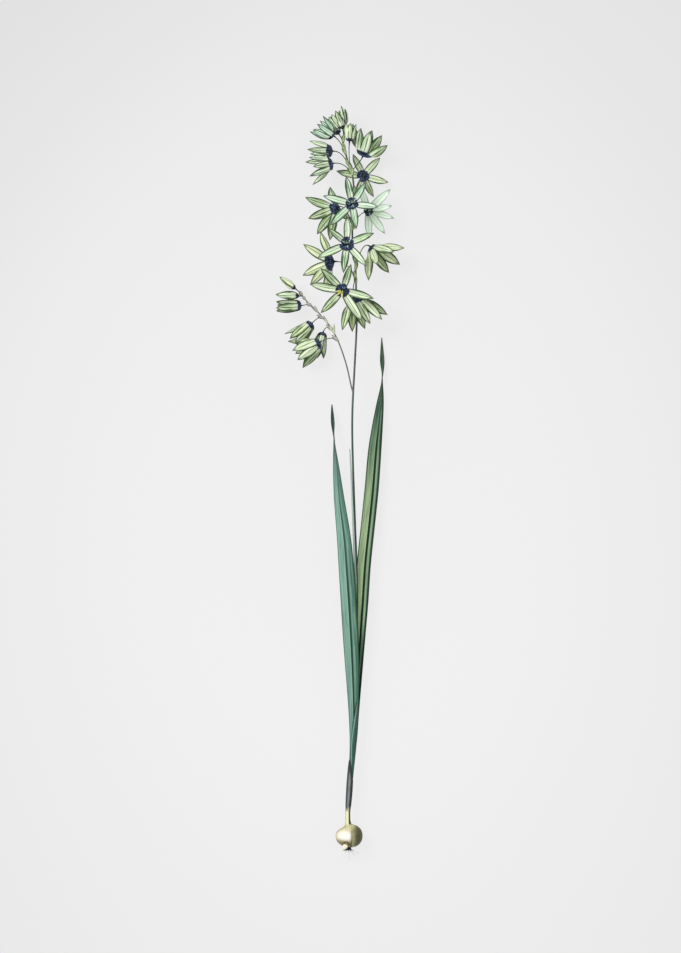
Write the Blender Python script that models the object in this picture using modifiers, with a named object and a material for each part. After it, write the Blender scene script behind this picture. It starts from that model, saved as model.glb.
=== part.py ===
"""A green ixia plant, lifted whole with its corm and laid flat on a surface.

The shoot runs along +Y from the corm, +Z is up from the surface, and the origin is the small flat spot
that the corm rests on. The lower blooms rest on the tips of their petals. All sizes are in metres.
"""

import math
import random
from collections import namedtuple

import bmesh
import bpy
from mathutils import Matrix, Vector

MM = 0.001

# Thin tissue and the clearance between pieces that touch.
BLADE_THICKNESS = 0.7 * MM
SEAT_GAP = 0.3 * MM

# The corm: its girth, its height along the shoot, and how high its middle lies.
CORM_RADIUS = 9.15 * MM
CORM_HALF_HEIGHT = 7.4 * MM
CORM_AXIS_HEIGHT = 8.8 * MM
CORM_SHIFT = -0.4 * MM
NECK_RADIUS = 1.6 * MM
NECK_TOP = 16.7 * MM
CORMLET_LENGTH = 5.2 * MM
CORMLET_RADIUS = 1.6 * MM
CORMLET_PLACE = (-1.6, -3.9, 5.4)
CORMLET_FACING = (250, -6)
SHOOT_FOOT = NECK_TOP + SEAT_GAP

# Stems.
STEM_RADIUS = 0.8 * MM
STEM_TIP_RADIUS = 0.55 * MM
BRANCH_RADIUS = 0.55 * MM
STALK_RADIUS = 0.45 * MM
BRACT_LENGTH = 6.5 * MM
BRACT_RADIUS = 1.15 * MM

# Petals: six round each bloom.
PETALS = 6
PETAL_HALF_WIDTH = 0.118
RIB_STEPS = 12
CUP_STATIONS = (1.1 * MM, 3.2 * MM)
KEEL = 0.3

# base_lean: how a petal leaves the flower's axis, in degrees. cup: how soon it bends to its own lean.
# curl: how far its tip turns out. floor: where the stamens stand. rows: how much of the length each row marks.
Habit = namedtuple("Habit", "base_lean cup curl floor rows")
STAR = Habit(42.0, 1.8 * MM, 6.0, 1.5 * MM, (0.34, 0.54, 0.74, 0.9))
CUPPED = Habit(84.0, 2.2 * MM, -5.0, 0.7 * MM, (0.34, 0.54, 0.74, 0.9))
BROAD = Habit(94.0, 3.0 * MM, -4.0, 0.7 * MM, (0.4, 0.66, 0.88))
BELL = Habit(90.0, 2.1 * MM, -9.0, 0.7 * MM, (0.4, 0.66, 0.88))

# place: right, along the shoot and up, in mm. facing: degrees round from +X and above the surface.
# lean: the petals' angle from the flower's axis. turn: the first petal's angle, or all six.
# joins: where its stalk leaves the stem, in mm along it, or as a share of the side branch.
Bloom = namedtuple("Bloom", "name habit place facing lean turn length joins")
SPIKE_BLOOMS = (
    Bloom("bloom_01", CUPPED, (3.4, 361.8, 28.5), (-69, -3), 38, 6, 25.0, 371),
    Bloom("bloom_02", STAR, (-4.5, 366.6, 37.0), (-100, 80), 75, (170, 134, 65, -12, -63, -132), 22.8, 362),
    Bloom("bloom_03", STAR, (-10.0, 385.3, 23.22), (183, -30), 58, 213, 25.5, 374),
    Bloom("bloom_04", CUPPED, (14.0, 395.0, 18.37), (-42, -8), 42, 33, 24.0, 380),
    Bloom("bloom_05", STAR, (-2.0, 396.8, 28.5), (90, 82), 76, (89, 22, -48, -98, -154, 145), 21.5, 385),
    Bloom("bloom_06", STAR, (-7.4, 422.4, 22.0), (208, -48), 62, 208, 23.5, 410),
    Bloom("bloom_07", STAR, (10.8, 422.0, 9.0), (-30, 80), 74, (33, -14, -55, -96, 155, 95), 20.8, 408),
    Bloom("bloom_08", STAR, (0.9, 423.7, 28.0), (90, 80), 75, (98, 56, -4, -78, -130, 165), 20.8, 414),
    Bloom("bloom_09", STAR, (9.8, 443.5, 14.0), (200, -74), 74, 53, 19.5, 430),
    Bloom("bloom_10", BROAD, (-13.2, 450.2, 24.0), (204, 12), 24, 39, 17.5, 444),
    Bloom("bloom_11", BROAD, (-13.2, 459.0, 14.0), (177, -12), 20, 12, 17.0, 449),
    Bloom("bloom_12", CUPPED, (7.6, 456.9, 14.5), (64, 12), 38, 19, 19.0, 443),
    Bloom("bloom_13", BELL, (0.1, 467.8, 22.5), (80, 6), 5, 35, 11.0, 446),
    Bloom("bloom_14", BROAD, (-12.5, 470.3, 20.0), (141, 8), 20, 36, 15.0, 458),
    Bloom("bloom_15", BELL, (-8.0, 472.0, 12.0), (125, -12), 14, 20, 12.5, 460),
    Bloom("bloom_16", BELL, (-6.2, 477.2, 19.5), (126, 6), 10, 21, 11.0, 466),
)
# Crowded among its neighbours and the stem, this one is pressed flatter than it is broad.
FLATTENED = {"bloom_01": 0.45}
SIDE_BLOOMS = (
    Bloom("side_bloom_1", BROAD, (-20.8, 332.3, 15.5), (212, -4), 19, 47, 19.5, 0.30),
    Bloom("side_bloom_2", BELL, (-18.6, 337.3, 5.5), (-105, 4), 12, 30, 18.0, 0.42),
    Bloom("side_bloom_3", BELL, (-27.7, 343.7, 13.0), (211, 0), 14, 46, 18.0, 0.58),
    Bloom("side_bloom_4", BELL, (-32.8, 356.4, 12.0), (187, 4), 5, 22, 17.5, 0.80),
)

# Closed buds: place, facing, length and girth.
Bud = namedtuple("Bud", "name place facing length radius joins")
SPIKE_BUDS = (
    Bud("bud_1", (-2.3, 477.2, 17.5), (94, 4), 10.3, 1.75, 472),
    Bud("bud_2", (-3.4, 480.3, 20.5), (104, 8), 10.5, 1.25, 472),
)
SIDE_BUDS = (
    Bud("side_bud_1", (-33.6, 362.8, 11.0), (177, 4), 16.0, 3.0, 0.92),
    Bud("side_bud_2", (-36.2, 367.3, 14.0), (141, 4), 13.0, 2.1, 1.0),
)

# Centre lines, in mm.
STEM_ROUTE = (
    (-0.9, 17.0, 9.0),
    (0.4, 38.2, 9.4),
    (2.4, 68.3, 10.1),
    (3.6, 91.8, 10.8),
    (4.6, 132.0, 12.3),
    (5.0, 158.8, 13.3),
    (4.6, 182.9, 14.2),
    (3.5, 212.4, 15.3),
    (1.9, 261.3, 16.8),
    (1.9, 286.8, 17.5),
    (3.5, 318.3, 18.5),
    (4.8, 346.4, 19.2),
    (4.3, 366.5, 19.7),
    (3.8, 383.2, 20.0),
    (1.9, 400.0, 20.0),
    (2.0, 423.4, 20.0),
    (2.8, 433.5, 20.0),
    (1.5, 444.2, 19.8),
    (-1.6, 453.6, 19.4),
    (-4.2, 464.3, 18.6),
    (-3.4, 473.6, 17.8),
)
BRANCH_ROUTE = (
    (1.05, 301.8, 17.8),
    (-2.4, 317.0, 17.0),
    (-7.4, 331.5, 15.6),
    (-12.2, 340.5, 14.6),
    (-17.6, 347.6, 13.8),
    (-22.6, 353.2, 13.2),
    (-28.2, 358.5, 12.8),
    (-32.2, 363.6, 12.6),
)

# A leaf's centre line in mm, then its half width, how far it is gutter-shaped, and its roll, in degrees.
LEFT_LEAF = (
    (-0.9, 17.3, 10.5, 0.95, 50, 0),
    (0.4, 38.2, 10.9, 1.25, 50, 0),
    (1.9, 53.0, 11.6, 1.8, 50, 0),
    (3.1, 69.0, 12.3, 2.8, 45, 0),
    (3.3, 91.8, 13.4, 3.9, 34, 0),
    (1.7, 132.0, 15.9, 4.9, 28, 0),
    (-1.3, 174.9, 18.0, 4.8, 25, 0),
    (-3.5, 200.3, 17.4, 4.6, 24, 0),
    (-6.9, 225.8, 14.8, 3.5, 22, 0),
    (-8.6, 243.9, 11.6, 2.4, 18, 12),
    (-10.3, 267.3, 8.0, 1.3, 10, 90),
    (-11.4, 279.4, 5.8, 1.2, 8, 165),
    (-11.9, 290.1, 3.6, 0.25, 8, 180),
)
RIGHT_LEAF = (
    (-0.8, 17.3, 7.5, 0.95, -50, 0),
    (0.4, 38.2, 7.9, 1.25, -50, 0),
    (1.5, 53.0, 8.1, 1.6, -50, 0),
    (3.3, 68.3, 8.3, 2.4, -46, 0),
    (5.0, 91.8, 8.5, 3.2, -36, 0),
    (7.4, 132.0, 9.0, 4.0, -30, 4),
    (8.4, 157.5, 9.2, 4.4, -28, 8),
    (9.8, 182.9, 9.0, 4.7, -26, 10),
    (12.5, 212.4, 8.4, 4.9, -25, 10),
    (14.8, 235.2, 7.8, 4.9, -24, 10),
    (17.0, 261.3, 6.8, 4.5, -22, 10),
    (20.0, 286.8, 5.4, 2.9, -20, 15),
    (21.9, 308.2, 3.9, 1.3, -12, 90),
    (22.0, 320.9, 2.6, 1.5, -10, 168),
    (21.7, 335.3, 1.4, 0.25, -10, 180),
)
# The stem leaf clasps the stem: distance along, half width, bend, roll and distance from the stem's middle.
STEM_LEAF = (
    (172.0, 1.2, 44, -90, 1.65),
    (184.0, 1.2, 44, -88, 1.65),
    (196.0, 1.25, 44, -80, 1.65),
    (212.0, 1.15, 40, -68, 1.65),
    (232.0, 0.9, 30, -60, 1.7),
    (250.0, 0.6, 18, -60, 1.9),
    (260.0, 0.25, 8, -60, 2.1),
)
LEAF_STATIONS = 24
LEAF_FOLD = 0.1
ACROSS = (-1.0, -0.5, 0.0, 0.5, 1.0)

# The purple-grey sheath round the foot of the shoot.
SHEATH_LENGTH = 34.5 * MM
SHEATH_SIDES = 14
SHEATH_ROWS = 6
SHEATH_HALF_WIDTH = 1.6 * MM
SHEATH_HALF_DEPTH = 2.5 * MM
SHEATH_SWELL = 0.55 * MM
SHEATH_TIP = math.radians(128)

# Stamens and style.
STAMENS = 3
FILAMENT_LENGTH = 3.4 * MM
ANTHER_LENGTH = 4.2 * MM
ANTHER_RADIUS = 0.6 * MM
STYLE_HEIGHT = 5.4 * MM
OPEN_LEAN = 40

# What is left of last year's corm, with the roots.
ROOT_COUNT = 9
ROOT_RADIUS = 0.32 * MM
ROOT_LENGTH = 9.0 * MM
PLATE_RADIUS = 2.4 * MM

# Plain colours (linear), roughness.
PETAL_GREEN = ((0.42, 0.53, 0.24), 0.55)
ANTHER_YELLOW = ((0.75, 0.68, 0.16), 0.6)
LEAF_GREEN = ((0.11, 0.27, 0.18), 0.5)
STEM_GREEN = ((0.16, 0.27, 0.17), 0.5)
BRANCH_GREY = ((0.33, 0.34, 0.25), 0.6)
SHEATH_PURPLE = ((0.14, 0.13, 0.16), 0.55)
CORM_CREAM = ((0.66, 0.60, 0.38), 0.5)
ROOT_WHITE = ((0.50, 0.47, 0.36), 0.7)


def clear_scene():
    for obj in list(bpy.data.objects):
        bpy.data.objects.remove(obj)


def material(name, look):
    made = bpy.data.materials.get(name)
    if made is None:
        made = bpy.data.materials.new(name)
        made.use_nodes = True
        shader = made.node_tree.nodes["Principled BSDF"]
        shader.inputs["Base Color"].default_value = (*look[0], 1.0)
        shader.inputs["Roughness"].default_value = look[1]
        shader.inputs["Metallic"].default_value = 0.0
    return made


def in_metres(place):
    return Vector(place) * MM


def add_object(name, data, look_name, look, collection):
    obj = bpy.data.objects.new(name, data)
    collection.objects.link(obj)
    data.materials.clear()
    data.materials.append(material(look_name, look))
    return obj


def mesh_of(bm, name):
    mesh = bpy.data.meshes.new(name)
    bm.to_mesh(mesh)
    bm.free()
    mesh.shade_smooth()
    return mesh


def evaluated_mesh(obj):
    graph = bpy.context.evaluated_depsgraph_get()
    return bpy.data.meshes.new_from_object(obj.evaluated_get(graph))


def smooth_route(route, count):
    """Evenly spaced rows on a Catmull-Rom curve through the rows of a route, whatever a row holds."""
    rows = [tuple(map(float, row)) for row in route]
    rows = [rows[0], *rows, rows[-1]]
    spans = len(rows) - 3
    sampled = []
    for step in range(count):
        along = step / (count - 1) * spans
        span = min(int(along), spans - 1)
        t = along - span
        a, b, c, d = rows[span : span + 4]
        sampled.append(
            tuple(
                0.5 * (2 * q + (r - p) * t + (2 * p - 5 * q + 4 * r - s) * t * t + (3 * q - p - 3 * r + s) * t**3)
                for p, q, r, s in zip(a, b, c, d)
            )
        )
    return sampled


def tube(name, points, radii, sides_level):
    """A round stem through the points, as a closed mesh object at the origin."""
    curve = bpy.data.curves.new(name, "CURVE")
    curve.dimensions = "3D"
    curve.bevel_depth = 1.0
    curve.bevel_resolution = sides_level
    curve.use_fill_caps = True
    spline = curve.splines.new("POLY")
    spline.points.add(len(points) - 1)
    for spot, point, radius in zip(spline.points, points, radii):
        spot.co = (*point, 1.0)
        spot.radius = radius
    guide = bpy.data.objects.new(name, curve)
    bpy.context.scene.collection.objects.link(guide)
    mesh = evaluated_mesh(guide)
    bpy.data.objects.remove(guide)
    bm = bmesh.new()
    bm.from_mesh(mesh)
    bmesh.ops.remove_doubles(bm, verts=bm.verts, dist=0.01 * MM)
    bmesh.ops.recalc_face_normals(bm, faces=bm.faces)
    return mesh_of(bm, name)


def joined(name, base, others):
    """The union of closed meshes as one mesh."""
    body = bpy.data.objects.new(name, base)
    bpy.context.scene.collection.objects.link(body)
    group = bpy.data.collections.new(name + "_pieces")
    bpy.context.scene.collection.children.link(group)
    for number, mesh in enumerate(others):
        group.objects.link(bpy.data.objects.new(f"{name}_piece_{number}", mesh))
    union = body.modifiers.new("union", "BOOLEAN")
    union.operation = "UNION"
    union.operand_type = "COLLECTION"
    union.collection = group
    union.solver = "EXACT"
    bpy.context.view_layer.update()
    made = evaluated_mesh(body)
    for obj in list(group.objects):
        bpy.data.objects.remove(obj)
    bpy.data.collections.remove(group)
    bpy.data.objects.remove(body)
    return made


def facing_matrix(place, facing, flatness=1.0):
    """Turns +Z to the way a flower faces, tilting it straight over, and sets it at its place."""
    azimuth, elevation = map(math.radians, facing)
    hinge = Vector((-math.sin(azimuth), math.cos(azimuth), 0.0))
    pressed = Matrix.Scale(flatness, 4, (0, 0, 1))
    return Matrix.Translation(place) @ pressed @ Matrix.Rotation(math.pi / 2 - elevation, 4, hinge)


def facing_way(facing):
    return facing_matrix(Vector(), facing) @ Vector((0, 0, 1))


def petal_lean(habit, lean, distance, length):
    """A petal's angle from the flower's axis, at a distance from the flower's base."""
    settled = math.exp(-distance / habit.cup)
    bend = lean + (habit.base_lean - lean) * settled + habit.curl * (distance / length) ** 2
    return math.radians(bend)


def rib_point(habit, lean, distance, length):
    """Radius and height on a petal's midrib, and its lean there."""
    step = distance / RIB_STEPS
    leans = [petal_lean(habit, lean, (i + 0.5) * step, length) for i in range(RIB_STEPS)]
    radius = sum(math.sin(a) for a in leans) * step
    height = sum(math.cos(a) for a in leans) * step
    return radius, height, petal_lean(habit, lean, distance, length)


def petal_half_width(share, length):
    """A broad lance-shaped outline, with a short point."""
    swell = math.sin(math.pi * min(1.0, share) ** 0.8) ** 0.6
    return PETAL_HALF_WIDTH * length * (0.15 * (1 - share) + swell)


def turns_of(bloom):
    if isinstance(bloom.turn, tuple):
        return sorted(math.radians(angle % 360) for angle in bloom.turn)
    return [math.radians(bloom.turn + 360 / PETALS * k) for k in range(PETALS)]


def bloom_sheet(bloom):
    """The open surface of a bloom about its own +Z: a shallow cup that splits into six petals."""
    bm = bmesh.new()
    habit, length = bloom.habit, bloom.length * MM
    turns = turns_of(bloom)
    gaps = [(turns[(k + 1) % PETALS] - turns[k]) % math.tau for k in range(PETALS)]
    draw = random.Random(bloom.name)
    spoke_angles = [a for k in range(PETALS) for a in (turns[k], turns[k] + gaps[k] / 2)]
    centre = bm.verts.new((0, 0, 0))
    ring = None
    for distance in CUP_STATIONS:
        radius, height, _ = rib_point(habit, bloom.lean, distance, length)
        spots = [bm.verts.new((radius * math.cos(a), radius * math.sin(a), height)) for a in spoke_angles]
        for k in range(2 * PETALS):
            after = (k + 1) % (2 * PETALS)
            if ring is None:
                bm.faces.new((centre, spots[k], spots[after]))
            else:
                bm.faces.new((ring[k], spots[k], spots[after], ring[after]))
        ring = spots
    for k in range(PETALS):
        row = [ring[2 * k - 1], ring[2 * k], ring[2 * k + 1]]
        lean = bloom.lean + draw.uniform(-4, 4)
        own_length = length * draw.uniform(0.95, 1.03)
        sway = draw.uniform(-0.05, 0.05) * length
        room = math.tan(min(gaps[k - 1], gaps[k]) / 2)
        out = Vector((math.cos(turns[k]), math.sin(turns[k]), 0))
        across = Vector((-out.y, out.x, 0))
        for share in habit.rows:
            radius, height, slope = rib_point(habit, lean, share * own_length, own_length)
            middle = out * radius + Vector((0, 0, height)) + across * sway * share**2
            inward = Vector((-out.x * math.cos(slope), -out.y * math.cos(slope), math.sin(slope)))
            half = min(petal_half_width(share, own_length), radius * room - 0.6 * BLADE_THICKNESS)
            lift = inward * half * KEEL
            new_row = [
                bm.verts.new(middle - across * half + lift),
                bm.verts.new(middle),
                bm.verts.new(middle + across * half + lift),
            ]
            for i in range(2):
                bm.faces.new((row[i], new_row[i], new_row[i + 1], row[i + 1]))
            row = new_row
        radius, height, _ = rib_point(habit, lean, own_length, own_length)
        tip = bm.verts.new(out * radius + Vector((0, 0, height)) + across * sway)
        bm.faces.new((row[0], tip, row[1]))
        bm.faces.new((row[1], tip, row[2]))
    bmesh.ops.recalc_face_normals(bm, faces=bm.faces)
    bmesh.ops.triangulate(bm, faces=bm.faces, quad_method="SHORT_EDGE")
    return bm


def make_bloom(bloom, collection):
    sheet = bloom_sheet(bloom)
    seat = facing_matrix(in_metres(bloom.place), bloom.facing, FLATTENED.get(bloom.name, 1.0))
    bmesh.ops.transform(sheet, matrix=seat, verts=sheet.verts)
    obj = add_object(bloom.name, mesh_of(sheet, bloom.name), "petal_green", PETAL_GREEN, collection)
    shell = obj.modifiers.new("thickness", "SOLIDIFY")
    shell.thickness = BLADE_THICKNESS
    shell.offset = 0.0
    return obj


def spindle(length, radius, belly, ribs=0, rib_depth=0.0, segments=12, rings=6):
    """A pointed spindle along +Z from the origin, widest at the belly, with ribs round it."""
    bm = bmesh.new()
    bmesh.ops.create_uvsphere(bm, u_segments=segments, v_segments=rings, radius=1.0)
    for vert in bm.verts:
        along = 0.5 - math.asin(max(-1.0, min(1.0, -vert.co.z))) / math.pi
        share = 1.0 - along
        angle = math.atan2(vert.co.y, vert.co.x)
        stretch = share ** (math.log(0.5) / math.log(belly))
        width = math.sin(math.pi * stretch) ** 0.8 if 0 < stretch < 1 else 0.0
        width *= radius * (1 + rib_depth * math.cos(ribs * angle))
        vert.co = Vector((math.cos(angle) * width, math.sin(angle) * width, share * length))
    bmesh.ops.remove_doubles(bm, verts=bm.verts, dist=0.01 * MM)
    bmesh.ops.recalc_face_normals(bm, faces=bm.faces)
    return bm


def make_bud(bud, collection):
    mesh = mesh_of(spindle(bud.length * MM, bud.radius * MM, 0.42, ribs=3, rib_depth=0.07), bud.name)
    obj = add_object(bud.name, mesh, "petal_green", PETAL_GREEN, collection)
    obj.matrix_world = facing_matrix(in_metres(bud.place), bud.facing)
    return obj


def stamen_cluster():
    """The style with three stamens round it, about +Z, for an open flower."""
    style = tube("style", [(0, 0, 0), (0, 0, STYLE_HEIGHT)], [0.36 * MM, 0.34 * MM], 1)
    pieces = []
    for k in range(STAMENS):
        angle = math.tau * k / STAMENS
        out = Vector((math.cos(angle), math.sin(angle), 0))
        root = Vector((0, 0, 0.3 * STYLE_HEIGHT))
        top = root + out * 0.55 * FILAMENT_LENGTH + Vector((0, 0, 0.6 * FILAMENT_LENGTH))
        pieces.append(tube("filament", [root, top], [0.32 * MM, 0.32 * MM], 0))
        anther = spindle(ANTHER_LENGTH, ANTHER_RADIUS, 0.5, segments=5, rings=4)
        lean = Matrix.Rotation(math.radians(52), 4, Vector((-out.y, out.x, 0)))
        seat = Matrix.Translation(top - lean @ Vector((0, 0, 0.3 * ANTHER_LENGTH)))
        bmesh.ops.transform(anther, matrix=seat @ lean, verts=anther.verts)
        pieces.append(mesh_of(anther, "anther"))
    return joined("stamen_cluster", style, pieces)


def stalk(name, start, way, bloom_place, bloom_way, radius):
    """A flower's stalk: it leaves the stem along way and meets the flower's back square on."""
    end = bloom_place - bloom_way * (BLADE_THICKNESS / 2 + SEAT_GAP)
    reach = (end - start).length
    points = []
    for step in range(5):
        t = step / 4
        blend = (1 - t) ** 3, 3 * t * (1 - t) ** 2, 3 * t * t * (1 - t), t**3
        held = start + way * 0.4 * reach, end - bloom_way * 0.4 * reach
        points.append(start * blend[0] + held[0] * blend[1] + held[1] * blend[2] + end * blend[3])
    return tube(name, points, [radius] * len(points), 1)


def bract(start, way, length, radius):
    """A small papery bract: a spindle that hugs the foot of a flower's stalk."""
    bm = spindle(length, radius, 0.36, segments=6, rings=5)
    turn = way.to_track_quat("Z", "Y").to_matrix().to_4x4()
    seat = Matrix.Translation(start - way * 0.12 * length)
    bmesh.ops.transform(bm, matrix=seat @ turn, verts=bm.verts)
    return mesh_of(bm, "bract")


def nearest(points, height_along):
    """The point of a stem at a distance along the shoot, and the stem's way there."""
    index = min(range(1, len(points) - 1), key=lambda i: abs(points[i].y - height_along))
    return points[index], (points[index + 1] - points[index - 1]).normalized()


def stalks_and_bracts(flowers, place_of_joint, length_scale):
    pieces = []
    for flower in flowers:
        start, up = place_of_joint(flower.joins)
        place = in_metres(flower.place)
        way = (up * 1.2 + (place - start).normalized()).normalized()
        pieces.append(stalk("stalk", start, way, place, facing_way(flower.facing), STALK_RADIUS))
        reach = (place - start).length
        bract_length = min(BRACT_LENGTH * length_scale, 0.62 * reach)
        pieces.append(bract(start, way, bract_length, BRACT_RADIUS * length_scale))
    return pieces


def make_stem(collection):
    points = [Vector(row) * MM for row in smooth_route(STEM_ROUTE, 36)]
    radii = [STEM_RADIUS + (STEM_TIP_RADIUS - STEM_RADIUS) * i / (len(points) - 1) for i in range(len(points))]
    body = tube("stem", points, radii, 2)
    pieces = stalks_and_bracts(SPIKE_BLOOMS + SPIKE_BUDS, lambda along: nearest(points, along * MM), 1.0)
    return add_object("stem", joined("stem", body, pieces), "stem_green", STEM_GREEN, collection)


def make_branch(collection):
    points = [Vector(row) * MM for row in smooth_route(BRANCH_ROUTE, 18)]
    body = tube("side_branch", points, [BRANCH_RADIUS] * len(points), 1)

    def joint(share):
        index = min(len(points) - 2, max(1, round(share * (len(points) - 1))))
        return points[index], (points[index + 1] - points[index - 1]).normalized()

    pieces = stalks_and_bracts(SIDE_BLOOMS + SIDE_BUDS, joint, 0.95)
    return add_object("side_branch", joined("side_branch", body, pieces), "branch_grey", BRANCH_GREY, collection)


def leaf_sheet(route):
    """A long blade on its centre line: gutter-shaped at its foot, folded along its rib, twisted near its tip."""
    bm = bmesh.new()
    rows = smooth_route(route, LEAF_STATIONS)
    centres = [Vector(row[:3]) * MM for row in rows]
    before = None
    for i, (_, _, _, half, bend, roll) in enumerate(rows):
        way = (centres[min(i + 1, len(rows) - 1)] - centres[max(i - 1, 0)]).normalized()
        side = way.cross(Vector((0, 0, 1))).normalized()
        normal = side.cross(way).normalized()
        twist = Matrix.Rotation(math.radians(roll), 3, way)
        side, normal = twist @ side, twist @ normal
        curve = math.radians(bend) if abs(bend) > 1 else math.radians(1)
        row = []
        for u in ACROSS:
            sideways = math.sin(curve * u) / curve * half * MM
            sunk = (1 - math.cos(curve * u)) / curve * half * MM
            fold = LEAF_FOLD * abs(u) * half * MM * math.copysign(1, bend)
            row.append(bm.verts.new(centres[i] + side * sideways - normal * (sunk + fold)))
        if before:
            for k in range(len(ACROSS) - 1):
                bm.faces.new((before[k], row[k], row[k + 1], before[k + 1]))
        before = row
    bmesh.ops.recalc_face_normals(bm, faces=bm.faces)
    bmesh.ops.triangulate(bm, faces=bm.faces, quad_method="FIXED")
    return bm


def stem_leaf_route():
    stem = [Vector(row) for row in smooth_route(STEM_ROUTE, 200)]
    rows = []
    for along, half, bend, roll, offset in STEM_LEAF:
        middle = min(stem, key=lambda point: abs(point.y - along))
        turn = math.radians(roll)
        rows.append((middle.x + offset * math.sin(turn), along, middle.z + offset * math.cos(turn), half, bend, roll))
    return rows


def make_leaf(name, route, collection):
    obj = add_object(name, mesh_of(leaf_sheet(route), name), "leaf_green", LEAF_GREEN, collection)
    shell = obj.modifiers.new("thickness", "SOLIDIFY")
    shell.thickness = BLADE_THICKNESS
    shell.offset = 0.0
    return obj


def make_sheath(collection):
    """A thin oval tube round the feet of the leaves, cut slantwise to a point on its upper left."""
    bm = bmesh.new()
    route = [Vector(row) * MM for row in smooth_route(STEM_ROUTE[:3], 24)]
    before = None
    for step in range(SHEATH_ROWS + 1):
        share = step / SHEATH_ROWS
        row = []
        for k in range(SHEATH_SIDES):
            angle = math.tau * k / SHEATH_SIDES
            slant = 0.5 + 0.5 * math.cos(angle - SHEATH_TIP)
            height = SHOOT_FOOT + share * SHEATH_LENGTH * (0.58 + 0.42 * slant**2.5)
            centre = min(route, key=lambda point: abs(point.y - height))
            swell = SHEATH_SWELL * math.sin(math.pi * (0.08 + 0.64 * share))
            row.append(
                bm.verts.new(
                    (
                        centre.x + (SHEATH_HALF_WIDTH + swell) * math.cos(angle),
                        height,
                        centre.z + (SHEATH_HALF_DEPTH + swell) * math.sin(angle),
                    )
                )
            )
        if before:
            for k in range(SHEATH_SIDES):
                after = (k + 1) % SHEATH_SIDES
                bm.faces.new((before[k], row[k], row[after], before[after]))
        before = row
    bmesh.ops.recalc_face_normals(bm, faces=bm.faces)
    bmesh.ops.triangulate(bm, faces=bm.faces, quad_method="FIXED")
    obj = add_object("sheath", mesh_of(bm, "sheath"), "sheath_purple", SHEATH_PURPLE, collection)
    shell = obj.modifiers.new("thickness", "SOLIDIFY")
    shell.thickness = 0.6 * MM
    shell.offset = 0.0
    return obj


def turned_corm():
    """A squat round corm with a short pale neck, turned about the shoot."""
    bm = bmesh.new()
    profile = [(0.0, -CORM_HALF_HEIGHT)]
    for step in range(1, 10):
        angle = math.pi * (-0.5 + step / 9 * 0.9)
        profile.append((CORM_RADIUS * math.cos(angle) ** 0.9, CORM_HALF_HEIGHT * math.sin(angle)))
    profile += [(1.15 * NECK_RADIUS, CORM_HALF_HEIGHT + 0.9 * MM), (NECK_RADIUS, 10.0 * MM)]
    profile += [(NECK_RADIUS, NECK_TOP), (0.0, NECK_TOP)]
    verts = [bm.verts.new((radius, along, 0)) for radius, along in reversed(profile)]
    for a, b in zip(verts, verts[1:]):
        bm.edges.new((a, b))
    mesh = bpy.data.meshes.new("corm_profile")
    bm.to_mesh(mesh)
    bm.free()
    guide = bpy.data.objects.new("corm_profile", mesh)
    bpy.context.scene.collection.objects.link(guide)
    turned = guide.modifiers.new("turn", "SCREW")
    turned.axis = "Y"
    turned.steps = turned.render_steps = 22
    turned.use_merge_vertices = True
    turned.merge_threshold = 0.00005
    turned.use_normal_calculate = True
    made = evaluated_mesh(guide)
    bpy.data.objects.remove(guide)
    return made


def make_corm(collection, cutters):
    """The corm with the small pale cormlet that grows from its foot, cut flat where it rests."""
    cormlet = spindle(CORMLET_LENGTH, CORMLET_RADIUS, 0.45)
    seat = facing_matrix(in_metres(CORMLET_PLACE), CORMLET_FACING)
    bmesh.ops.transform(cormlet, matrix=seat, verts=cormlet.verts)
    body = joined("corm", turned_corm(), [mesh_of(cormlet, "cormlet")])
    obj = add_object("corm", body, "corm_cream", CORM_CREAM, collection)
    obj.location = (CORM_SHIFT, 0, CORM_AXIS_HEIGHT)
    bpy.ops.mesh.primitive_cube_add(size=1)
    surface = bpy.context.active_object
    surface.name = "resting_surface"
    surface.scale = (0.1, 0.1, 0.02)
    surface.location = (0, 0, -0.01)
    surface.hide_render = True
    surface.display_type = "WIRE"
    for group in list(surface.users_collection):
        group.objects.unlink(surface)
    cutters.objects.link(surface)
    flat = obj.modifiers.new("rest", "BOOLEAN")
    flat.operation = "DIFFERENCE"
    flat.object = surface


def make_root_plate(collection):
    """The dark plate under the corm with its fine roots, which arch down to the surface."""
    top = Vector((3 * CORM_SHIFT, -CORM_HALF_HEIGHT - SEAT_GAP, CORM_AXIS_HEIGHT))
    bm = bmesh.new()
    bmesh.ops.create_cone(bm, cap_ends=True, segments=16, radius1=0.75 * PLATE_RADIUS, radius2=PLATE_RADIUS, depth=1.8 * MM)
    seat = Matrix.Translation(top + Vector((0, -0.9 * MM, 0))) @ Matrix.Rotation(-math.pi / 2, 4, "X")
    bmesh.ops.transform(bm, matrix=seat, verts=bm.verts)
    plate = mesh_of(bm, "root_plate")
    draw = random.Random(4)
    roots = []
    for k in range(ROOT_COUNT):
        fan = math.radians(-70 + 140 * k / (ROOT_COUNT - 1) + draw.uniform(-6, 6))
        length = ROOT_LENGTH * draw.uniform(0.75, 1.1)
        start = top + Vector((0.6 * PLATE_RADIUS * math.sin(fan), -1.2 * MM, draw.uniform(-1.2, 0.8) * MM))
        drop = start.z - draw.uniform(0.8, 4.5) * MM
        points = []
        for step in range(5):
            t = step / 4
            reach = Vector((math.sin(fan) * 0.8, -math.cos(fan) * 0.8 - 0.2, 0)) * length * math.sin(t * 1.3)
            points.append(start + reach + Vector((0, 0, -drop * t**2)))
        roots.append(tube("root", points, [ROOT_RADIUS] * len(points), 0))
    return add_object("root_plate", joined("root_plate", plate, roots), "root_white", ROOT_WHITE, collection)


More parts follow.
